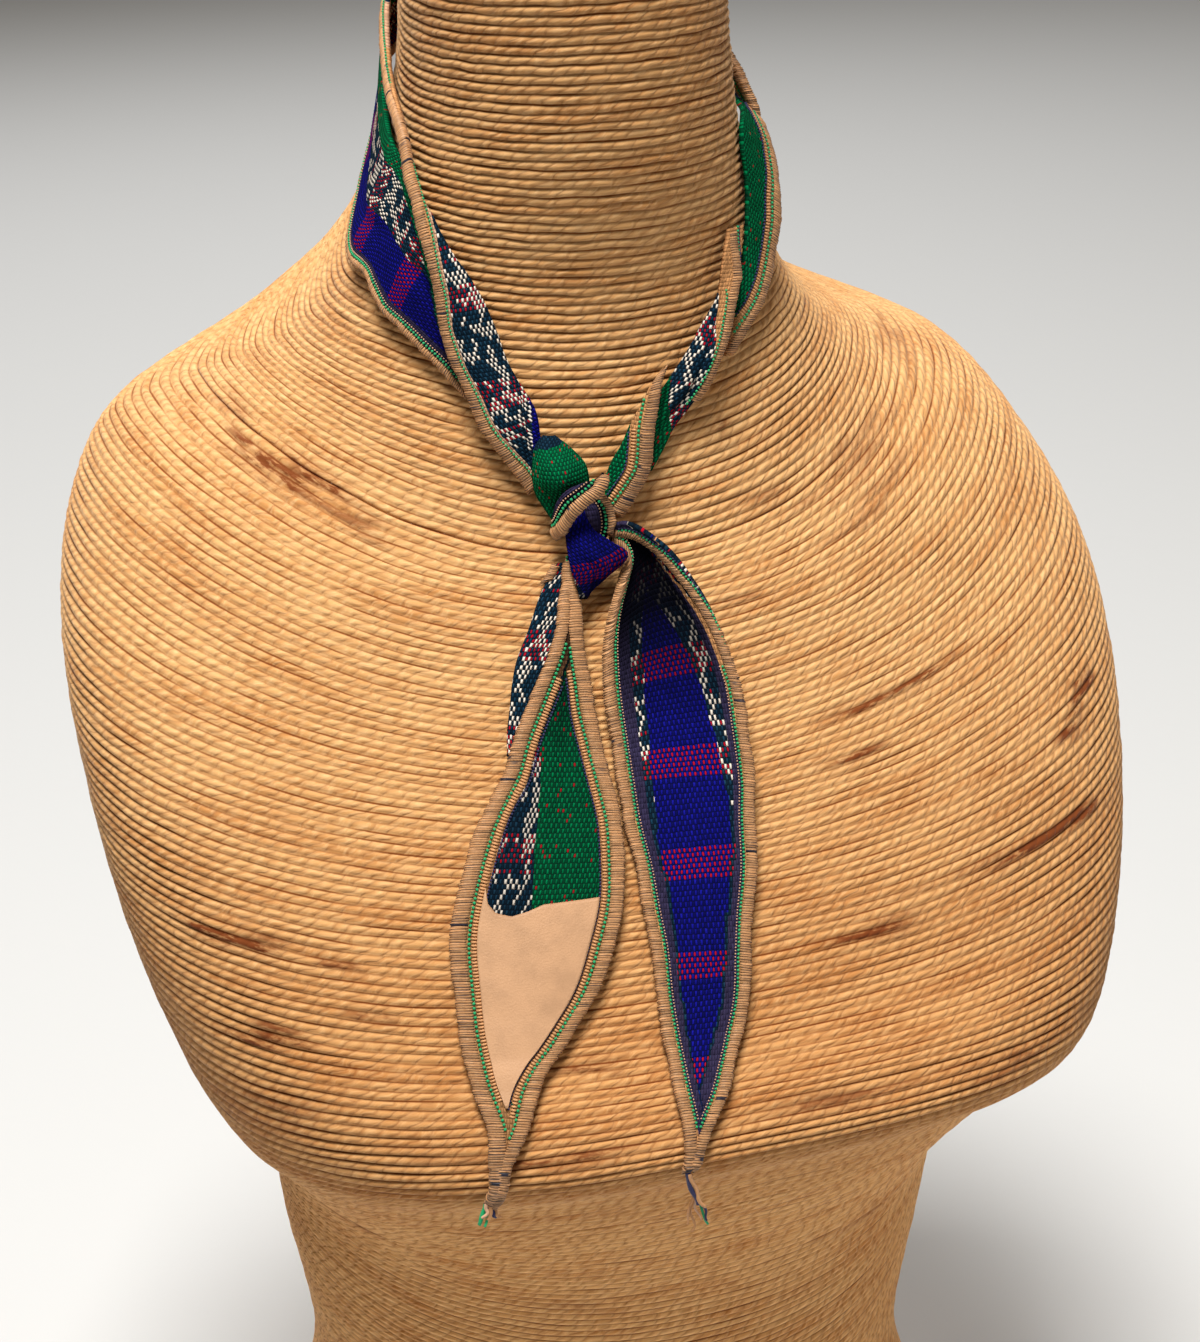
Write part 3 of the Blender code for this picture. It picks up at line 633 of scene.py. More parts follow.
def form_skin():
    """The form's solid, to find its surface with."""
    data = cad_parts["form"].data
    return BVHTree.FromPolygons([v.co for v in data.vertices], [p.vertices for p in data.polygons])


def on_form(skin, turn, z, gap):
    """The point off the form's surface, met along a level line out from the neck's axis."""
    angle = math.radians(turn)
    out = Vector((math.sin(angle), -math.cos(angle), 0))
    hit = skin.ray_cast(AXIS + Vector((0, 0, z)) + out, -out)[0]
    return hit + out * gap


def past_cloth(edge, hems):
    """How far a long edge reaches past the points of the cloth, in mm."""
    return HEM_REACH if edge in hems else FOLD_REACH


def sheet_points(skin, table, hems, across=ACROSS):
    """The middle of a stretch's cloth, section by section from its top, and each section's full width."""
    def station(values, share):
        """The cloth's middle a share of the way from edge a to edge b."""
        row = dict(zip(EDGE_COLUMNS, values))
        turn, z, gap = (row["a_" + k] + (row["b_" + k] - row["a_" + k]) * share
                        for k in ("turn", "z", "gap"))
        return on_form(skin, turn, z * MM, (gap + row["crown"] * math.sin(math.pi * share)) * MM)

    last = len(table) - 1
    coarse = rows_at(table, np.linspace(0, last, 4 * last + 1)).T
    middle = run(np.array([station(values, 0.5) for values in coarse]))
    count = int(middle[-1] / STEP) + 1
    at = np.interp(np.linspace(0, middle[-1], count), middle, np.linspace(0, last, len(middle)))
    lines, widths = [], []
    for values in rows_at(table, at).T:
        width = (station(values, 1) - station(values, 0)).length
        tip_a, tip_b = (min(MOST_REACH, past_cloth(edge, hems) * MM / width) for edge in "ab")
        shares = [tip_a + (1 - tip_a - tip_b) * i / (across - 1) for i in range(across)]
        lines.append([station(values, share) for share in shares])
        widths.append(width)
    return np.array(lines), np.array(widths)


# ---------------------------------------------------------------- materials
class Finish:
    """One procedural material, made a node at a time around its Principled shader."""

    def __init__(self, name, roughness, sheen=0.0, specular=0.25):
        self.material = bpy.data.materials.new(name)
        self.material.use_nodes = True
        self.tree = self.material.node_tree
        self.shader = self.tree.nodes["Principled BSDF"]
        self.shader.inputs["Roughness"].default_value = roughness
        self.shader.inputs["Sheen Weight"].default_value = sheen
        self.shader.inputs["Sheen Roughness"].default_value = 0.45
        self.shader.inputs["Specular IOR Level"].default_value = specular

    def node(self, kind, out=0, inputs=(), **settings):
        """Adds a node with its inputs, by number or name, linked or set, and returns one of its outputs."""
        made = self.tree.nodes.new("ShaderNode" + kind)
        for key, value in settings.items():
            setattr(made, key, value)
        for key, value in dict(inputs).items():
            if isinstance(value, bpy.types.NodeSocket):
                self.tree.links.new(value, made.inputs[key])
            else:
                made.inputs[key].default_value = value
        return made.outputs[out]

    def math(self, operation, *values):
        """One step of arithmetic."""
        return self.node("Math", inputs=dict(enumerate(values)), operation=operation)

    def vector(self, operation, *values):
        """One step of arithmetic on vectors."""
        return self.node("VectorMath", inputs=dict(enumerate(values)), operation=operation)

    def mix(self, share, a, b, blend="MIX"):
        """The colour a, with a share of b mixed in."""
        a, b = (v if isinstance(v, bpy.types.NodeSocket) else (*v, 1) for v in (a, b))
        return self.node("Mix", 2, {0: share, 6: a, 7: b}, data_type="RGBA", blend_type=blend)

    def add(self, first, *others):
        """The sum of two or more."""
        for other in others:
            first = self.math("ADD", first, other)
        return first

    def times(self, first, *others):
        """The product of two or more."""
        for other in others:
            first = self.math("MULTIPLY", first, other)
        return first

    def rest(self, value):
        """What a share leaves of the whole."""
        return self.math("SUBTRACT", 1.0, value)

    def split(self, vector):
        """A vector's three parts."""
        return self.node("SeparateXYZ", inputs={0: vector}).node.outputs

    def joined(self, x, y):
        """A vector in a plane."""
        return self.node("CombineXYZ", inputs={0: x, 1: y})

    def scaled(self, vector, x, y, z=1):
        """A vector, stretched along each axis."""
        return self.vector("MULTIPLY", vector, (x, y, z))

    def random(self, value):
        """A number from 0 to 1 for each whole value."""
        return self.node("TexWhiteNoise", 0, {"W": value}, noise_dimensions="1D")

    def scattered(self, cell):
        """A number from 0 to 1 for each cell of a plane."""
        return self.node("TexWhiteNoise", 0, {"Vector": cell}, noise_dimensions="2D")

    def uv(self):
        """The piece's own UV map."""
        return self.node("UVMap", uv_map="UVMap")

    def place(self):
        """Object coordinates, in metres."""
        return self.node("TexCoord", 3)

    def attribute(self, name):
        """The level of one of the piece's attributes."""
        return self.node("Attribute", 2, attribute_name=name)

    def noise(self, vector, scale, detail=2.0, roughness=0.5):
        """Soft noise, from 0 to 1."""
        return self.node("TexNoise", 0, {"Vector": vector, "Scale": scale, "Detail": detail,
                                         "Roughness": roughness})

    def smooth(self, value, low, high):
        """From 0 at low to 1 at high, eased at both ends."""
        return self.node("MapRange", 0, {"Value": value, "From Min": low, "From Max": high},
                         interpolation_type="SMOOTHSTEP")

    def steps(self, value, stops):
        """A ramp that holds each of its (place, colour or number) stops until the next."""
        made = self.tree.nodes.new("ShaderNodeValToRGB")
        made.color_ramp.interpolation = "CONSTANT"
        points = made.color_ramp.elements
        points.remove(points[1])
        for i, (place, level) in enumerate(stops):
            point = points[0] if i == 0 else points.new(place)
            point.position = place
            point.color = (*level, 1) if hasattr(level, "__len__") else (level, level, level, 1)
        self.tree.links.new(value, made.inputs[0])
        return made.outputs[0]

    def done(self, colour, height, depth):
        """Links the colour, and the height in metres as a bump."""
        self.tree.links.new(colour, self.shader.inputs["Base Color"])
        bump = self.node("Bump", 0, {"Height": height, "Distance": depth, "Strength": 1.0})
        self.tree.links.new(bump, self.shader.inputs["Normal"])
        return self.material


def rope_finish(rope):
    """Jute: two twisted plies, hairy fibres, turns that differ a little, brown stains."""
    f = Finish("jute_rope", 0.85, sheen=0.1, specular=0.15)
    place = f.uv()
    x, y, _ = f.split(place)
    z = f.split(f.place())[2]
    own = f.random(f.math("FLOOR", y))
    height = f.math("FRACT", y)
    crest = f.math("SINE", f.times(height, math.pi))
    stray = f.noise(place, 0.45, 1.0)
    twist = f.add(f.times(x, rope.pitch / ROPE_PLY), f.times(height, 0.85), f.times(stray, 1.3),
                  f.times(own, 9.0))
    ply = f.math("POWER", f.math("ABSOLUTE", f.math("SINE", f.times(twist, math.pi))), 0.7)
    fibres = f.noise(f.joined(f.times(twist, 3.0), f.times(y, 0.8)), 1.0, 4.0, 0.7)

    # the yarn: darker turns and blotches, pale fibres, and painted shade in the grooves and between the
    # plies
    blotches = f.noise(f.scaled(place, 0.06, 0.30), 1.0, 3.0, 0.6)
    darker = f.add(f.times(own, 0.35), f.smooth(blotches, 0.42, 0.68))
    tint = f.mix(f.times(darker, 0.7), rope.jute, rope.shade)
    tint = f.mix(f.times(f.smooth(fibres, 0.38, 0.72), 0.45), tint, (0.86, 0.60, 0.32))
    tight = f.smooth(f.noise(f.scaled(place, 0.10, 1.3), 1.0, 2.0), 0.38, 0.66)
    groove = f.times(f.rest(f.smooth(crest, 0.0, 0.62)), f.add(0.4, f.times(tight, 0.75)))
    ply_shade = f.times(f.rest(ply), 0.44)
    tint = f.mix(f.math("MAXIMUM", groove, ply_shade), tint, (0.34, 0.17, 0.065), "MULTIPLY")

    # the stains, broken up along the turns, and small flecks of the same brown
    patchy = f.noise(f.scaled(place, 0.20, 0.9), 1.0, 4.0, 0.7)
    stained = f.times(f.attribute("stain"), f.add(0.35, f.times(f.smooth(patchy, 0.40, 0.58), 0.9)))
    fine = f.noise(f.scaled(place, 0.35, 1.1), 0.9, 2.0, 0.6)
    flecks = f.times(f.smooth(fine, 0.70, 0.80), 0.4)
    tint = f.mix(f.math("MAXIMUM", stained, flecks), tint, rope.stain)

    # painted shade greys and darkens the neck's turns and darkens and reddens the lower chest; painted light
    # makes the waist's turns paler, and painted shade darkens their grooves
    tint = f.mix(f.times(f.smooth(y, 85.0, 30.0), 0.42), tint, (0.55, 0.47, 0.40), "MULTIPLY")
    bust_foot_shade = f.times(f.smooth(z, 0.42, 0.31), f.smooth(z, 0.22, 0.31), 0.5)
    tint = f.mix(bust_foot_shade, tint, (0.78, 0.60, 0.44), "MULTIPLY")
    tint = f.mix(f.times(f.smooth(z, 0.31, 0.22), 0.6), tint, (1.42, 1.34, 1.22), "MULTIPLY")
    waist_groove_shade = f.times(f.rest(f.smooth(crest, 0.0, 0.55)), f.smooth(z, 0.33, 0.27))
    tint = f.mix(f.times(waist_groove_shade, 0.85), tint, (0.42, 0.30, 0.20), "MULTIPLY")
    return f.done(tint, f.add(f.times(ply, 0.55), f.times(fibres, 0.5)), 0.45 * MM)


def weave_finish(row, cloth, thread):
    """Plain weave in stripes, with ikat flecks and weft bands. UV counts threads."""
    f = Finish("weave_" + row["node"], 0.95, specular=0.02)
    colours = {"green": cloth.green, "blue": cloth.blue, "ikat": cloth.navy, "navy": cloth.navy,
               "violet": cloth.violet, "tan": thread.tan, "rose": thread.rose, "dark": (0.006, 0.006, 0.014)}
    kinds = [stripe["kind"] for stripe in named(STRIPE_COLUMNS, STRIPES, row["node"])]
    level = f.math("DIVIDE", f.attribute("stripe"), float(len(kinds)))

    def by_stripe(levels):
        """A level or colour for each kind of stripe, and nothing for the kinds not given."""
        return f.steps(level, [(i / len(kinds), levels.get(kind, 0.0)) for i, kind in enumerate(kinds)])

    place = f.uv()
    place = f.vector("ADD", place, f.scaled(f.noise(place, 0.3, 2.0), 0.7, 0.35, 0))
    cell = f.vector("FLOOR", place)
    u, v, _ = f.split(cell)
    within = f.split(f.vector("FRACTION", place))
    bead = f.times(*(f.math("SINE", f.times(within[i], math.pi)) for i in (0, 1)))
    raised = f.math("FLOORED_MODULO", f.add(u, v), 2.0)
    woven = by_stripe({"green": 1.0, "blue": 1.0, "ikat": 1.0, "navy": 1.0})
    ikat = f.times(by_stripe({"ikat": 1.0}), f.math("LESS_THAN", f.attribute("plain"), 0.5))

    # the stripe's colour, a little different in each thread's float, with painted shade where it dips under
    dice = f.scattered(cell)
    tint = f.mix(f.times(dice, 0.35), by_stripe(colours), (0.0, 0.0, 0.0))
    sunk = f.times(f.rest(raised), woven)
    tint = f.mix(f.times(sunk, 0.72), tint, (0.002, 0.003, 0.006))

    # the undyed flecks, in zigzag lines and in full patches
    cluster = f.noise(f.scaled(cell, 0.17, 0.24), 1.0, 1.0)
    zigzag = f.math("FLOORED_MODULO", f.add(u, f.math("PINGPONG", v, 4.0)), 7.0)
    lines = f.times(f.math("LESS_THAN", zigzag, 2.5), f.math("GREATER_THAN", cluster, 0.47))
    full = f.math("GREATER_THAN", f.add(cluster, f.times(dice, 0.10)), 0.61)
    tint = f.mix(f.times(f.math("MAXIMUM", lines, full), ikat, raised), tint, cloth.white)

    # the red weft, where it shows: in bands, in stray picks of the ikat and as dots on the green
    down = f.math("SUBTRACT", f.times(v, cloth.weft / MM * row["pulled"]), float(row["band_start"]))
    along = f.math("DIVIDE", down, float(BAND_PITCH))
    band = f.math("LESS_THAN", f.math("FRACT", along), BAND_SHARE)
    stray = f.add(f.times(f.math("GREATER_THAN", f.random(v), 0.84), ikat), by_stripe({"green": 1.0}))
    second = f.scattered(f.vector("ADD", cell, (31.0, 17.0, 0)))
    red_share = by_stripe({"green": 0.07, "blue": 1.0, "ikat": 0.8})
    picked = f.times(f.math("LESS_THAN", second, red_share), sunk)
    dot = f.smooth(bead, 0.30, 0.62)
    tint = f.mix(f.times(f.math("MAXIMUM", band, stray), picked, dot), tint, cloth.red)

    # painted shade: the cloth darkened in its folds and across whole stretches
    if named(SHADE_COLUMNS, PAINTED_SHADES, row["node"]):
        tint = f.mix(f.attribute("shade"), tint, (0.001, 0.001, 0.003))
    # painted shade in the gaps between the threads
    gap_shade = f.rest(f.smooth(bead, 0.0, 0.42))
    tint = f.mix(f.times(gap_shade, f.add(0.25, f.times(woven, 0.35))), tint, (0.003, 0.003, 0.006))
    relief = f.add(f.times(f.math("POWER", bead, 0.6), f.add(0.5, f.times(raised, 0.5))),
                   f.times(f.noise(place, 6.0, 2.0), 0.2))
    return f.done(tint, relief, 0.45 * MM)


def spun(name):
    """The start of a sewing thread's finish, and the grain of its filaments."""
    f = Finish("thread_" + name, 0.55, sheen=0.1, specular=0.4)
    return f, f.noise(f.place(), 900.0, 2.0, 0.6)


def darkened(shade, share):
    """A colour with a share of its light."""
    return tuple(share * c for c in shade)


def thread_finish(name, shade):
    """Twisted polyester thread, as it shows in a single stitch."""
    f, grain = spun(name)
    tint = f.mix(f.times(f.smooth(grain, 0.35, 0.75), 0.35), shade, darkened(shade, 0.5))
    return f.done(tint, grain, 0.1 * MM)


def overlock_finish(name, shade, dark):
    """Thread laid in loops, which UV counts. Some show the dark ground between them, or are missed."""
    f, grain = spun(name)
    across, loop, _ = f.split(f.uv())
    stray = f.noise(f.uv(), 0.8, 2.0)
    loop = f.add(loop, f.times(across, 0.45), f.times(stray, 0.9))
    whole = f.math("FLOOR", loop)
    tint = f.mix(f.times(f.random(whole), 0.7), shade, darkened(shade, 0.45))
    tint = f.mix(f.times(f.smooth(grain, 0.4, 0.8), 0.22), tint, (0.80, 0.54, 0.30))
    between = f.smooth(f.math("ABSOLUTE", f.math("SUBTRACT", f.math("FRACT", loop), 0.5)), 0.24, 0.5)
    reach = f.smooth(f.noise(f.joined(f.times(across, 0.9), f.times(whole, 5.3)), 1.0, 1.0), 0.40, 0.60)
    gap = f.times(between, f.math("LESS_THAN", f.random(f.add(whole, 40.5)), dark * 1.6), reach)
    # painted shade between every two loops
    tint = f.mix(f.times(between, min(0.78 + 0.3 * dark, 1.0)), tint, (0.034, 0.014, 0.008))
    patch = f.smooth(f.noise(f.joined(across, f.times(whole, 2.3)), 1.4, 0.0), 0.46, 0.60)
    missed = f.times(f.math("LESS_THAN", f.random(f.add(whole, 7.7)), 0.02 + 0.06 * dark), patch)
    tint = f.mix(f.math("MAXIMUM", gap, missed), tint, (0.012, 0.010, 0.024))
    return f.done(tint, f.add(f.times(grain, 0.5), f.rest(between)), 0.32 * MM)


def leather_finish(cloth):
    """Plain pale vegetable-tanned leather: mottled, finely pored, a little darker at its edge."""
    f = Finish("label_leather", 0.55, specular=0.35)
    mottle = f.noise(f.place(), 120.0, 4.0, 0.6)
    pores = f.node("TexVoronoi", 0, {"Vector": f.place(), "Scale": 1600.0})
    rim = f.smooth(f.attribute("rim"), 0.0, 1.2)
    tint = f.mix(f.smooth(mottle, 0.35, 0.75), cloth.leather, darkened(cloth.leather, 0.84))
    tint = f.mix(f.times(f.rest(rim), 0.45), tint, (0.26, 0.12, 0.05))
    return f.done(tint, f.add(f.times(pores, 0.5), mottle), 0.12 * MM)


def stage_finish(stage):
    """Matt painted floor with a faint, broad unevenness."""
    f = Finish("pale_floor", 0.9, specular=0.1)
    cloudy = f.noise(f.place(), 1.2, 3.0)
    tint = f.mix(f.times(cloudy, 0.12), stage.floor, darkened(stage.floor, 0.9))
    return f.done(tint, f.noise(f.place(), 60.0, 2.0), 0.2 * MM)


# ---------------------------------------------------------------- pieces
def finished(thing, materials, replaced=()):
    """Gives a piece its materials and its body, and hides the nodes that it takes the place of."""
    for material in materials:
        thing.data.materials.append(material)
    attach(thing, "root")
    for node in replaced:
        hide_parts(node)
    return thing


def walled(thing, thickness):
    """Gives a sheet its thickness, half of it to each side."""
    wall = thing.modifiers.new("wall", "SOLIDIFY")
    wall.thickness = thickness
    wall.offset = 0


def turn_places(pitch):
    """Each part of each turn, counted from the middle of the cap, and its place down the form's table."""
    at = np.linspace(-1, len(FORM_ROWS) - 1, 2000)
    front = form_rings(at, 24)[:, 9:16]
    down = run(front).mean(axis=1)
    count = round(down[-1] / pitch)
    phases = np.arange(count * len(ROPE_SECTION) + 1) / len(ROPE_SECTION)
    return phases, np.interp(phases * down[-1] / count, down, at)


def wound_rope(rope, dice):
    """Points, UV places, stains and turns of the whole winding, a row for each part of a turn."""
    phases, places = turn_places(rope.pitch)
    count = int(phases[-1])
    rings = form_rings(places, ROPE_ROUND)
    normals = unit(np.cross(np.gradient(rings, axis=1), np.gradient(rings, axis=0)))
    normals *= -np.sign(normals[len(normals) // 2, ROPE_ROUND // 2, 1])
    around = run(rings, axis=1)
    around -= around[:, ROPE_ROUND // 2][:, None]
    lap = np.linspace(0, 2 * math.pi, ROPE_ROUND + 1)

    def waves(size, terms=5):
        """Soft seeded unevenness round each turn, the same at both ends of its lap."""
        out = np.zeros((count + 1, ROPE_ROUND + 1))
        for _ in range(terms):
            beat, start, share = (dice.uniform(low, high, count + 1)[:, None]
                                  for low, high in ((2, 26), (0, 2 * math.pi), (0.3, 1)))
            out += np.sin(np.round(beat) * lap + start) * share
        return out * size / terms

    sway, swell, depth = waves(2.2 * rope.wander), waves(0.40 * MM), waves(0.70 * MM)
    turn = np.minimum(phases.astype(int), count)
    part = (phases - turn)[:, None]
    shift = sway[turn] * (1 - part) + sway[np.minimum(turn + 1, count)] * part
    cut = np.interp(part[:, 0], *zip(*ROPE_SECTION, (1, ROPE_SECTION[0][1])))[:, None] * MM
    cut = np.where(part > 0, cut - swell[turn], cut + depth[turn])
    quiet = np.clip((phases - CAP_TURNS) / CAP_BLEND, 0, 1)
    quiet = quiet * np.clip((phases[-1] - phases) / BASE_TURNS, 0, 1)
    points = rings + unit(np.gradient(rings, axis=0)) * (shift * quiet[:, None])[..., None] \
        - normals * (cut + ROPE_SINK)[..., None]
    points[:, -1] = points[:, 0]
    points[..., 2] = np.maximum(points[..., 2], 0)
    uv = np.stack([around / rope.pitch, np.broadcast_to(phases[:, None], around.shape)], axis=-1)

    angle = np.degrees(np.arctan2(rings[..., 0] - AXIS.x, AXIS.y - rings[..., 1]))
    stain = np.zeros(around.shape)
    on_cap = (phases < CAP_TURNS + CAP_BLEND)[:, None]
    for mark in named(STAIN_COLUMNS, STAINS):
        off = np.abs((angle - mark["turn"] + 180) % 360 - 180) * 2.0 + np.abs(rings[..., 2] / MM - mark["z"])
        row, column = np.unravel_index(np.argmin(off + on_cap * 999), off.shape)
        slip = dice.uniform(-0.45, 0.45, count + 1)[turn][:, None]
        short = dice.uniform(0.4, 1.0, count + 1)[turn][:, None]
        far = ((around - around[row, column]) / (0.5 * mark["length"] * MM) + slip) / short
        high = (turn - turn[row])[:, None] / (0.5 * mark["turns"] + 0.5)
        stain = np.maximum(stain, mark["strength"] * np.clip(1.4 * (1 - far ** 2 - high ** 2), 0, 1))
    return points, uv, stain, phases


class SCARF_OT_rope(bpy.types.Operator):
    """Winds the dress form in jute rope, in three pieces that meet in a groove"""
    bl_idname = "scarf.rope"
    bl_label = "Rope-wound form"

    def execute(self, context):
        rope = context.scene.scarf_rope
        points, uv, stain, phases = wound_rope(rope, np.random.default_rng(7))
        finish = rope_finish(rope)
        for name, *shares in ROPE_PIECES:
            start, end = (round(int(phases[-1]) * share) * len(ROPE_SECTION) for share in shares)
            rows = slice(start, end + 1)
            piece = lattice(name, points[rows], uv[rows], tube=True, attributes=[("stain", stain[rows])])
            finished(piece, [finish], ["form"])
        return {"FINISHED"}


def from_edge(edge, from_a, wide):
    """Distances in from edge a or b, or from the middle towards b, of points so far from edge a."""
    return {"a": from_a, "b": wide - from_a, "m": from_a - 0.5 * wide}[edge]


def to_edge_a(edge, inset, wide):
    """Distances from edge a of places so far in from an edge, or from the middle."""
    return {"a": inset, "b": wide - inset, "m": 0.5 * wide + inset}[edge]


def creased(points, normals, from_a, wide, along, node):
    """Presses a stretch's creases into its points."""
    for crease in named(CREASE_COLUMNS, CREASES, node):
        share = (along - crease["start"]) / (crease["end"] - crease["start"])
        line = crease["first"] + (crease["last"] - crease["first"]) * share
        off = (from_edge(crease["edge"], from_a, wide) - line) / crease["width"]
        fade = np.sin(math.pi * np.clip(share, 0, 1)) ** 0.7
        points = points + normals * (crease["height"] * MM * fade * np.exp(-2 * off ** 2))[..., None]
    return points


def striped(node, from_a, wide, share):
    """How many stripes lie between edge a and each point, and where an ikat one shows its ground alone."""
    stripes = named(STRIPE_COLUMNS, STRIPES, node)
    last = len(stripes) - 1
    ends = [to_edge_a(stripe["edge"], stripe["top"] + (stripe["bottom"] - stripe["top"]) * share, wide)
            for stripe in stripes]
    for k in range(last - 1, 0, -1):
        if stripes[k]["edge"] == stripes[k - 1]["edge"] == "b":
            ends[k - 1] = np.minimum(ends[k - 1], ends[k])
    count, start, plain = (np.zeros(from_a.shape) for _ in range(3))
    for k, end in enumerate(ends):
        end = np.maximum(end, start + 1e-3) if k < last else start + PAST_EDGE
        if 0 < k < last and stripes[k]["kind"] == "ikat":
            plain = np.maximum(plain, (end - start < PLAIN_UNDER) & (np.abs(from_a - start) < PLAIN_AROUND))
        count += np.clip((from_a - start) / (end - start), 0, 1)
        start = end
    return count, plain


def painted_shade(node, from_a, wide, along):
    """How dark the painted shade makes the cloth in the depth of its fold, from 0 to 1."""
    shade = np.zeros(from_a.shape)
    for fold in named(SHADE_COLUMNS, PAINTED_SHADES, node):
        depth = np.clip((fold["stop"] - along) / (fold["stop"] - fold["start"]), 0, 1) ** 0.7
        inside = np.clip((wide - from_a - fold["inset"]) / SHADE_BLEND + 0.5, 0, 1)
        shade = (fold["lightest"] + (fold["deepest"] - fold["lightest"]) * depth) * inside
    return shade


def build_sheet(row, skin, cloth, thread):
    """Lays one stretch of the strip. Returns it with its points, their normals and its widths."""
    node = row["node"]
    points, widths = sheet_points(skin, row["table"], row["hems"])
    wide = widths[:, None] / MM
    from_a = run(points, axis=1) / MM + past_cloth("a", row["hems"])
    along = np.broadcast_to(run(points)[:, ACROSS // 2][:, None] / MM, from_a.shape)
    points = creased(points, outward(points), from_a, wide, along, node)
    stripe, plain = striped(node, from_a, wide, along / along[-1, 0])
    side = from_edge(row["measured"], from_a, wide)
    spine = along + row["slant"] * from_a
    uv = np.stack([side / cloth.warp, spine / cloth.weft], axis=-1) * MM / row["pulled"]
    sheet = lattice(node + "_cloth", points, uv, attributes=[
        ("stripe", stripe), ("shade", painted_shade(node, from_a, wide, along)), ("plain", plain)])
    walled(sheet, cloth.thickness)
    finished(sheet, [weave_finish(row, cloth, thread)], [node])
    return sheet, points, outward(points), widths


def inset_path(line, normal, distance, most):
    """The points a distance in from an edge, and the normals there. It is at most a share of the width."""
    far = run(line, axis=1)
    path, up = [], []
    for points, ups, reach, d in zip(line, normal, far, np.broadcast_to(distance, len(line))):
        d = min(max(d, 0), most * reach[-1])
        path.append([np.interp(d, reach, points[:, k]) for k in range(3)])
        up.append([np.interp(d, reach, ups[:, k]) for k in range(3)])
    return np.array(path), unit(np.array(up))


def hem_lines(hem, points, normals):
    """Section by section from a hem's edge: the points, the normals, the way in, how far in it is rolled."""
    way = 1 if hem["edge"] == "a" else -1
    line, normal = points[:, ::way], normals[:, ::way]
    rolled = hem["rolled"] * MM * np.clip(1 - np.linspace(0, 1 / ROLLED_SHARE, len(line)), 0, 1)
    return line, normal, unit(line[:, 3] - line[:, 0]), rolled


def hem_width(hem, share):
    """The thread's width a share of the way down the stretch, in mm."""
    return hem["top_width"] + (hem["width"] - hem["top_width"]) * np.clip(share / WIDENED_SHARE, 0, 1)


def resampled(path, pitch, *others):
    """A path at an even pitch, with other arrays carried along."""
    far = run(path)
    count = max(2, int(far[-1] / pitch) + 1)
    at = np.linspace(0, far[-1], count)
    return [np.stack([np.interp(at, far, values[:, k]) for k in range(values.shape[1])], axis=-1)
            for values in (path, *others)]


def build_overlock(hem, points, normals, widths, most, finish, dice):
    """A rolled edge of thread: a soft tube with a loop at each pitch."""
    line, normal, inward, rolled = hem_lines(hem, points, normals)
    edge, up = inset_path(line, normal, rolled, most)
    edge = edge - inward * HEM_REACH * MM
    edge, inward, up, room = resampled(edge, LOOP_PITCH / LOOP_STEPS, inward, up, widths[:, None])
    inward, up = unit(inward), unit(up)
    loops = np.arange(len(edge)) / LOOP_STEPS
    taper = np.clip(np.minimum(loops, loops[-1] - loops) / 2.0, 0.35, 1)[:, None]
    width = hem_width(hem, loops / loops[-1])[:, None]
    half = np.minimum(0.5 * width * MM, 0.46 * room) * taper
    thick = np.minimum(0.5 * hem["thickness"] * MM, 0.7 * half + 0.4 * MM) * taper
    index = loops.astype(int)
    # each loop is raised in its middle, thick and long by chance, and the whole thread sways a little
    own, out = (dice.uniform(-size, size, index[-1] + 2)[index][:, None] * MM for size in (0.10, 0.22))
    loop = (0.20 * np.abs(np.sin(math.pi * loops))[:, None]) * MM + own
    slow = 0.22 * MM * np.sin(loops / 5.3 + 2 * np.sin(loops / 17.0))[:, None]
    centre = edge + inward * (half + slow)
    turn = np.linspace(0, 2 * math.pi, LOOP_ROUND + 1)[None, :]
    x, y = np.cos(turn), np.sin(turn)
    x, y = np.sign(x) * np.abs(x) ** 0.7, np.sign(y) * np.abs(y) ** 0.8
    rings = centre[:, None] - inward[:, None] * (x * (half + loop) + np.maximum(x, 0) * out)[..., None] \
        + up[:, None] * (y * (thick + loop))[..., None]
    rings[:, -1] = rings[:, 0]
    uv = np.stack(np.broadcast_arrays(turn / 3, loops[:, None]), axis=-1)
    piece = lattice(f"{hem['node']}_overlock_{hem['edge']}", rings, uv, tube=True)
    return finished(piece, [finish])


def build_stitches(name, rows, finishes, dice, cloth):
    """Beads of thread, one for each stitch of every row, all in one piece."""
    bead = bmesh.new()
    bmesh.ops.create_icosphere(bead, subdivisions=1, radius=0.5)
    seed = bpy.data.meshes.new(name + "_bead")
    bead.to_mesh(seed)
    bead.free()
    threads = sorted({row["thread"] for row in rows})
    whole = bmesh.new()
    for row in rows:
        seed.polygons.foreach_set("material_index", [threads.index(row["thread"])] * len(seed.polygons))
        path, up = resampled(row["path"], row["pitch"] * MM, row["up"])
        ahead = unit(np.gradient(path, axis=0))
        for p, a, n in zip(path, ahead, unit(up)):
            side = np.cross(n, a)
            a = a + side * dice.uniform(-0.12, 0.12)
            sides = (v * row[size] * MM for v, size in ((side, "across"), (a, "along"), (n, "height")))
            place = Matrix.Identity(4)
            for column, values in enumerate((*sides, p + n * (0.5 * cloth.thickness + STITCH_RISE))):
                for k in range(3):
                    place[k][column] = values[k]
            seed.transform(place)
            whole.from_mesh(seed)
            seed.transform(place.inverted())
    mesh = bpy.data.meshes.new(name)
    whole.to_mesh(mesh)
    whole.free()
    mesh.shade_smooth()
    mesh.uv_layers.new(name="UVMap")
    return finished(placed(name, mesh), [finishes[key] for key in threads])


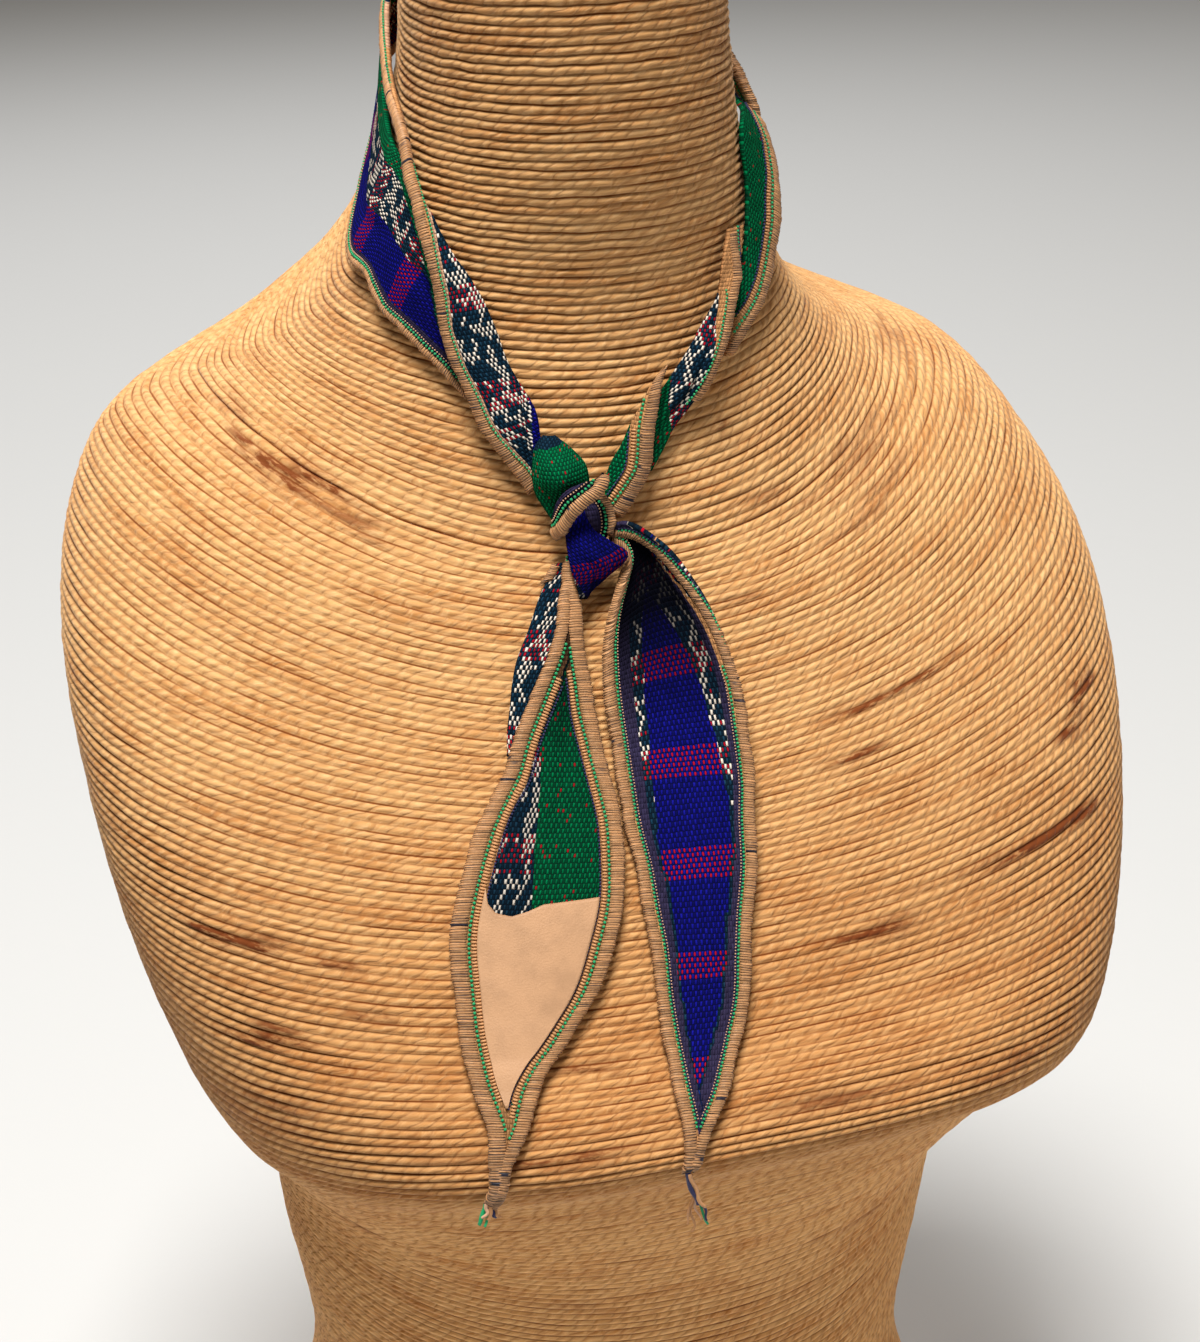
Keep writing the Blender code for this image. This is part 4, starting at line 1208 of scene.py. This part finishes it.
def edgings(row, points, normals, widths, thread, cloth, finishes, dice):
    """The overlock and the rows of stitches along a stretch's hems."""
    made, rows = [], []
    sides = 2 if row["hems"] == "ab" else 1
    for hem in named(HEM_COLUMNS, HEMS, row["node"]):
        finish = overlock_finish(f"{hem['node']}_{hem['edge']}", thread.tan, hem["dark"])
        last = round(len(points) * hem["end"])
        most = MOST_INSET if sides == 1 else 0.5    # two hems share the width
        made.append(build_overlock(hem, points[:last], normals[:last], widths[:last], most, finish, dice))
        line, normal, _, rolled = hem_lines(hem, points, normals)
        width = hem_width(hem, np.linspace(0, 1, len(line)))
        flat = (rolled <= 0.5 * MM) | (hem["rolled"] < 2)
        kept = np.arange(len(line)) < last
        for face, start, there in ((hem["face"], width, flat), ("rolled", 0, rolled > 0.5 * MM)):
            for stitch in named(STITCH_COLUMNS, STITCHES[face]):
                distance = start + stitch["beyond"] + rolled / MM - HEM_REACH
                path, up = inset_path(line, normal, distance * MM, MOST_INSET / sides)
                wide = widths > (sides * (distance + HEM_REACH) + stitch["across"]) * MM
                wide &= kept & there
                if wide.sum() > 3:
                    rows.append({**stitch, "path": path[wide], "up": up[wide]})
    if rows:
        made.append(build_stitches(row["node"] + "_stitches", rows, finishes, dice, cloth))
    return made


def thread_finishes(thread):
    """The finish of each thread, made once."""
    return {key: bpy.data.materials.get("thread_" + key) or thread_finish(key, getattr(thread, key))
            for key in ("tan", "green", "navy", "rose")}


def stretches(context, group):
    """Builds the sheets of one group of stretches, with their edgings."""
    cloth, thread = context.scene.scarf_cloth, context.scene.scarf_thread
    skin = form_skin()
    dice = np.random.default_rng(11)
    finishes = thread_finishes(thread)
    for row in named(SHEET_COLUMNS, SHEETS):
        if not row["node"].startswith(group):
            continue
        sheet, points, normals, widths = build_sheet(row, skin, cloth, thread)
        trims = edgings(row, points, normals, widths, thread, cloth, finishes, dice)


class SCARF_OT_neck(bpy.types.Operator):
    """Lays the stretches that go round the neck, with their overlocked edges"""
    bl_idname = "scarf.neck"
    bl_label = "Neck stretches"

    def execute(self, context):
        stretches(context, "neck")
        return {"FINISHED"}


class SCARF_OT_knot(bpy.types.Operator):
    """Ties the knot from its four stretches"""
    bl_idname = "scarf.knot"
    bl_label = "Knot"

    def execute(self, context):
        stretches(context, "knot")
        return {"FINISHED"}


class SCARF_OT_tails(bpy.types.Operator):
    """Hangs the two tails below the knot"""
    bl_idname = "scarf.tails"
    bl_label = "Tails"

    def execute(self, context):
        stretches(context, "tail")
        return {"FINISHED"}


def hanging_end(skin, end, dice):
    """Points and UV places of one loose end of thread, thinner towards its tip."""
    t = np.linspace(0, 1, 25)
    beat, start = dice.uniform(5, 9, 2), dice.uniform(0, 6, 2)
    bends = np.sin(beat[:, None] * t + start[:, None]) - np.sin(start)[:, None]
    x = end["drift"] * t ** 1.4 + end["curl"] * bends[0] * t
    y = 0.5 * end["curl"] * bends[1] * t - 0.8 * t
    first = np.array(on_form(skin, end["turn"], end["z"] * MM, end["gap"] * MM))
    path = first + np.stack([x, y, -end["length"] * t], axis=-1) * MM
    ahead = unit(np.gradient(path, axis=0))
    side = unit(np.cross(ahead, (0, 1, 0)))
    turn = np.linspace(0, 2 * math.pi, 7)[None, :, None]
    radius = 0.5 * end["thickness"] * MM * (1 - 0.35 * t)[:, None, None]
    rings = path[:, None] + radius * (np.cos(turn) * side[:, None]
                                      + np.sin(turn) * np.cross(ahead, side)[:, None])
    rings[:, -1] = rings[:, 0]
    return rings, np.stack(np.broadcast_arrays(turn[..., 0] / 3, t[:, None] * end["length"]), axis=-1)


class SCARF_OT_ends(bpy.types.Operator):
    """Leaves the loose thread ends hanging from the tips of the tails"""
    bl_idname = "scarf.ends"
    bl_label = "Thread ends"

    def execute(self, context):
        skin, dice = form_skin(), np.random.default_rng(5)
        finishes = thread_finishes(context.scene.scarf_thread)
        for number, end in enumerate(named(END_COLUMNS, ENDS), 1):
            thread = lattice(f"thread_end_{number:02d}", *hanging_end(skin, end, dice), tube=True)
            finished(thread, [finishes[end["thread"]]])
        return {"FINISHED"}


def label_points(skin, rise):
    """The label's middle, row by row from its top edge, so far off the tail's middle."""
    points, widths = sheet_points(skin, TAIL_LEFT, "ab", 61)
    highest = LABEL_TOP[0][1] * MM + 2 * MM
    inset = LABEL_MARGIN - HEM_REACH * MM
    lines = []
    for line, normal, far, width in zip(points, outward(points), run(points, axis=1), widths):
        if line[0, 2] > highest or width < 2 * LABEL_MARGIN + LABEL_LEAST:
            continue
        at = np.linspace(inset, width - LABEL_MARGIN - HEM_REACH * MM, LABEL_ACROSS)
        lines.append([[np.interp(d, far, values[:, k]) for values in (line, normal) for k in range(3)]
                      for d in at])
    lines = np.array(lines)
    lines = lines[..., :3] + unit(lines[..., 3:]) * rise
    top = np.interp(np.linspace(0, 1, LABEL_ACROSS), *zip(*LABEL_TOP)) * MM
    down = run(lines)
    for k in range(LABEL_ACROSS):
        start = np.interp(-top[k], -lines[:, k, 2], down[:, k])
        at = np.linspace(start, down[-1, k], len(lines))
        lines[:, k] = np.stack([np.interp(at, down[:, k], lines[:, k, i]) for i in range(3)], axis=-1)
    return lines


class SCARF_OT_label(bpy.types.Operator):
    """Lays the plain leather label on the tail, under its overlock"""
    bl_idname = "scarf.label"
    bl_label = "Leather label"

    def execute(self, context):
        cloth = context.scene.scarf_cloth
        lines = label_points(form_skin(), 0.5 * cloth.thickness + 0.25 * MM + 0.5 * LEATHER)
        uv = np.stack([run(lines, axis=1), run(lines)], axis=-1) / MM
        rim = np.minimum(run(lines), 9 * MM) / MM
        label = lattice("label_leather", lines, uv, attributes=[("rim", rim)])
        walled(label, LEATHER)
        finished(label, [leather_finish(cloth)], ["label"])
        return {"FINISHED"}


# ---------------------------------------------------------------- stage
CAMERA_AT = (-0.23221, -0.77141, 0.73597)      # metres
CAMERA_TURNED = (66.7653, 1.8067, -17.3436)    # degrees about X, Y and Z, from looking straight down
FOCAL, SENSOR = 70.24, 36                      # mm: the lens, and the height of its sensor

# Soft square lights aimed at AIM: where each hangs, its size in metres, its power in watts and its colour.
LIGHT_COLUMNS = ("name", "at", "size", "power", "tint")
LIGHTS = (
    ("key", (-0.35, -0.55, 2.6), 0.8, 94, (1.0, 0.96, 0.90)),
    ("fill", (1.5, -1.6, 1.3), 1.4, 5, (1.0, 0.93, 0.84)),
    ("back", (0.3, 2.6, 2.6), 2.4, 60, (1.0, 0.98, 0.95)),
)
AIM = Vector((0, 0, 0.42))
SKY = (1.0, 0.86, 0.70, 1)
SKY_STRENGTH = 0.14


class SCARF_OT_stage(bpy.types.Operator):
    """Sets the camera, the floor and the soft lights"""
    bl_idname = "scarf.stage"
    bl_label = "Stage"

    def execute(self, context):
        scene, stage = context.scene, context.scene.scarf_stage
        lens = bpy.data.cameras.new("camera")
        lens.sensor_fit, lens.sensor_height, lens.lens = "VERTICAL", SENSOR, FOCAL
        scene.camera = placed("camera", lens)
        turned = Euler([math.radians(angle) for angle in CAMERA_TURNED]).to_matrix().to_4x4()
        scene.camera.matrix_world = Matrix.Translation(CAMERA_AT) @ turned

        slab = bmesh.new()
        bmesh.ops.create_grid(slab, x_segments=1, y_segments=1, size=stage.reach)
        mesh = bpy.data.meshes.new("floor")
        slab.to_mesh(mesh)
        slab.free()
        mesh.materials.append(stage_finish(stage))
        placed("floor", mesh)

        for row in named(LIGHT_COLUMNS, LIGHTS):
            light = bpy.data.lights.new(row["name"], "AREA")
            light.energy, light.size, light.color = row["power"], row["size"], row["tint"]
            aimed = (AIM - Vector(row["at"])).to_track_quat("-Z", "Y").to_matrix().to_4x4()
            placed(row["name"], light).matrix_world = Matrix.Translation(row["at"]) @ aimed
        scene.world = bpy.data.worlds.new("studio")
        scene.world.use_nodes = True
        sky = scene.world.node_tree.nodes["Background"].inputs
        sky[0].default_value, sky[1].default_value = SKY, SKY_STRENGTH
        scene.view_settings.view_transform = "Standard"
        return {"FINISHED"}


class SCARF_PT_panel(bpy.types.Panel):
    """Shows the settings, and a button for each step that builds the scarf and its form"""
    bl_label = "Neck scarf"
    bl_idname = "SCARF_PT_panel"
    bl_space_type = "VIEW_3D"
    bl_region_type = "UI"
    bl_category = "Scarf"

    def draw(self, context):
        for key in SETTINGS:
            box = self.layout.box()
            group = getattr(context.scene, key)
            for name in group.__annotations__:
                box.prop(group, name)
        for step in STEPS:
            self.layout.operator(step.bl_idname)


SETTINGS = {"scarf_rope": RopeSettings, "scarf_cloth": ClothSettings, "scarf_thread": ThreadSettings,
            "scarf_stage": StageSettings}
STEPS = (SCARF_OT_stage, SCARF_OT_rope, SCARF_OT_neck, SCARF_OT_knot, SCARF_OT_tails, SCARF_OT_label,
         SCARF_OT_ends)
CLASSES = (*SETTINGS.values(), *STEPS, SCARF_PT_panel)


def register():
    """Makes the settings, the steps and the panel known."""
    for cls in CLASSES:
        bpy.utils.register_class(cls)
    for key, group in SETTINGS.items():
        setattr(bpy.types.Scene, key, PointerProperty(type=group))


def unregister():
    """Takes them out again."""
    for key in SETTINGS:
        delattr(bpy.types.Scene, key)
    for cls in reversed(CLASSES):
        bpy.utils.unregister_class(cls)


def main():
    """Builds everything in order."""
    register()
    for step in STEPS:
        family, name = step.bl_idname.split(".")
        getattr(getattr(bpy.ops, family), name)()


if __name__ == "__main__":
    main()
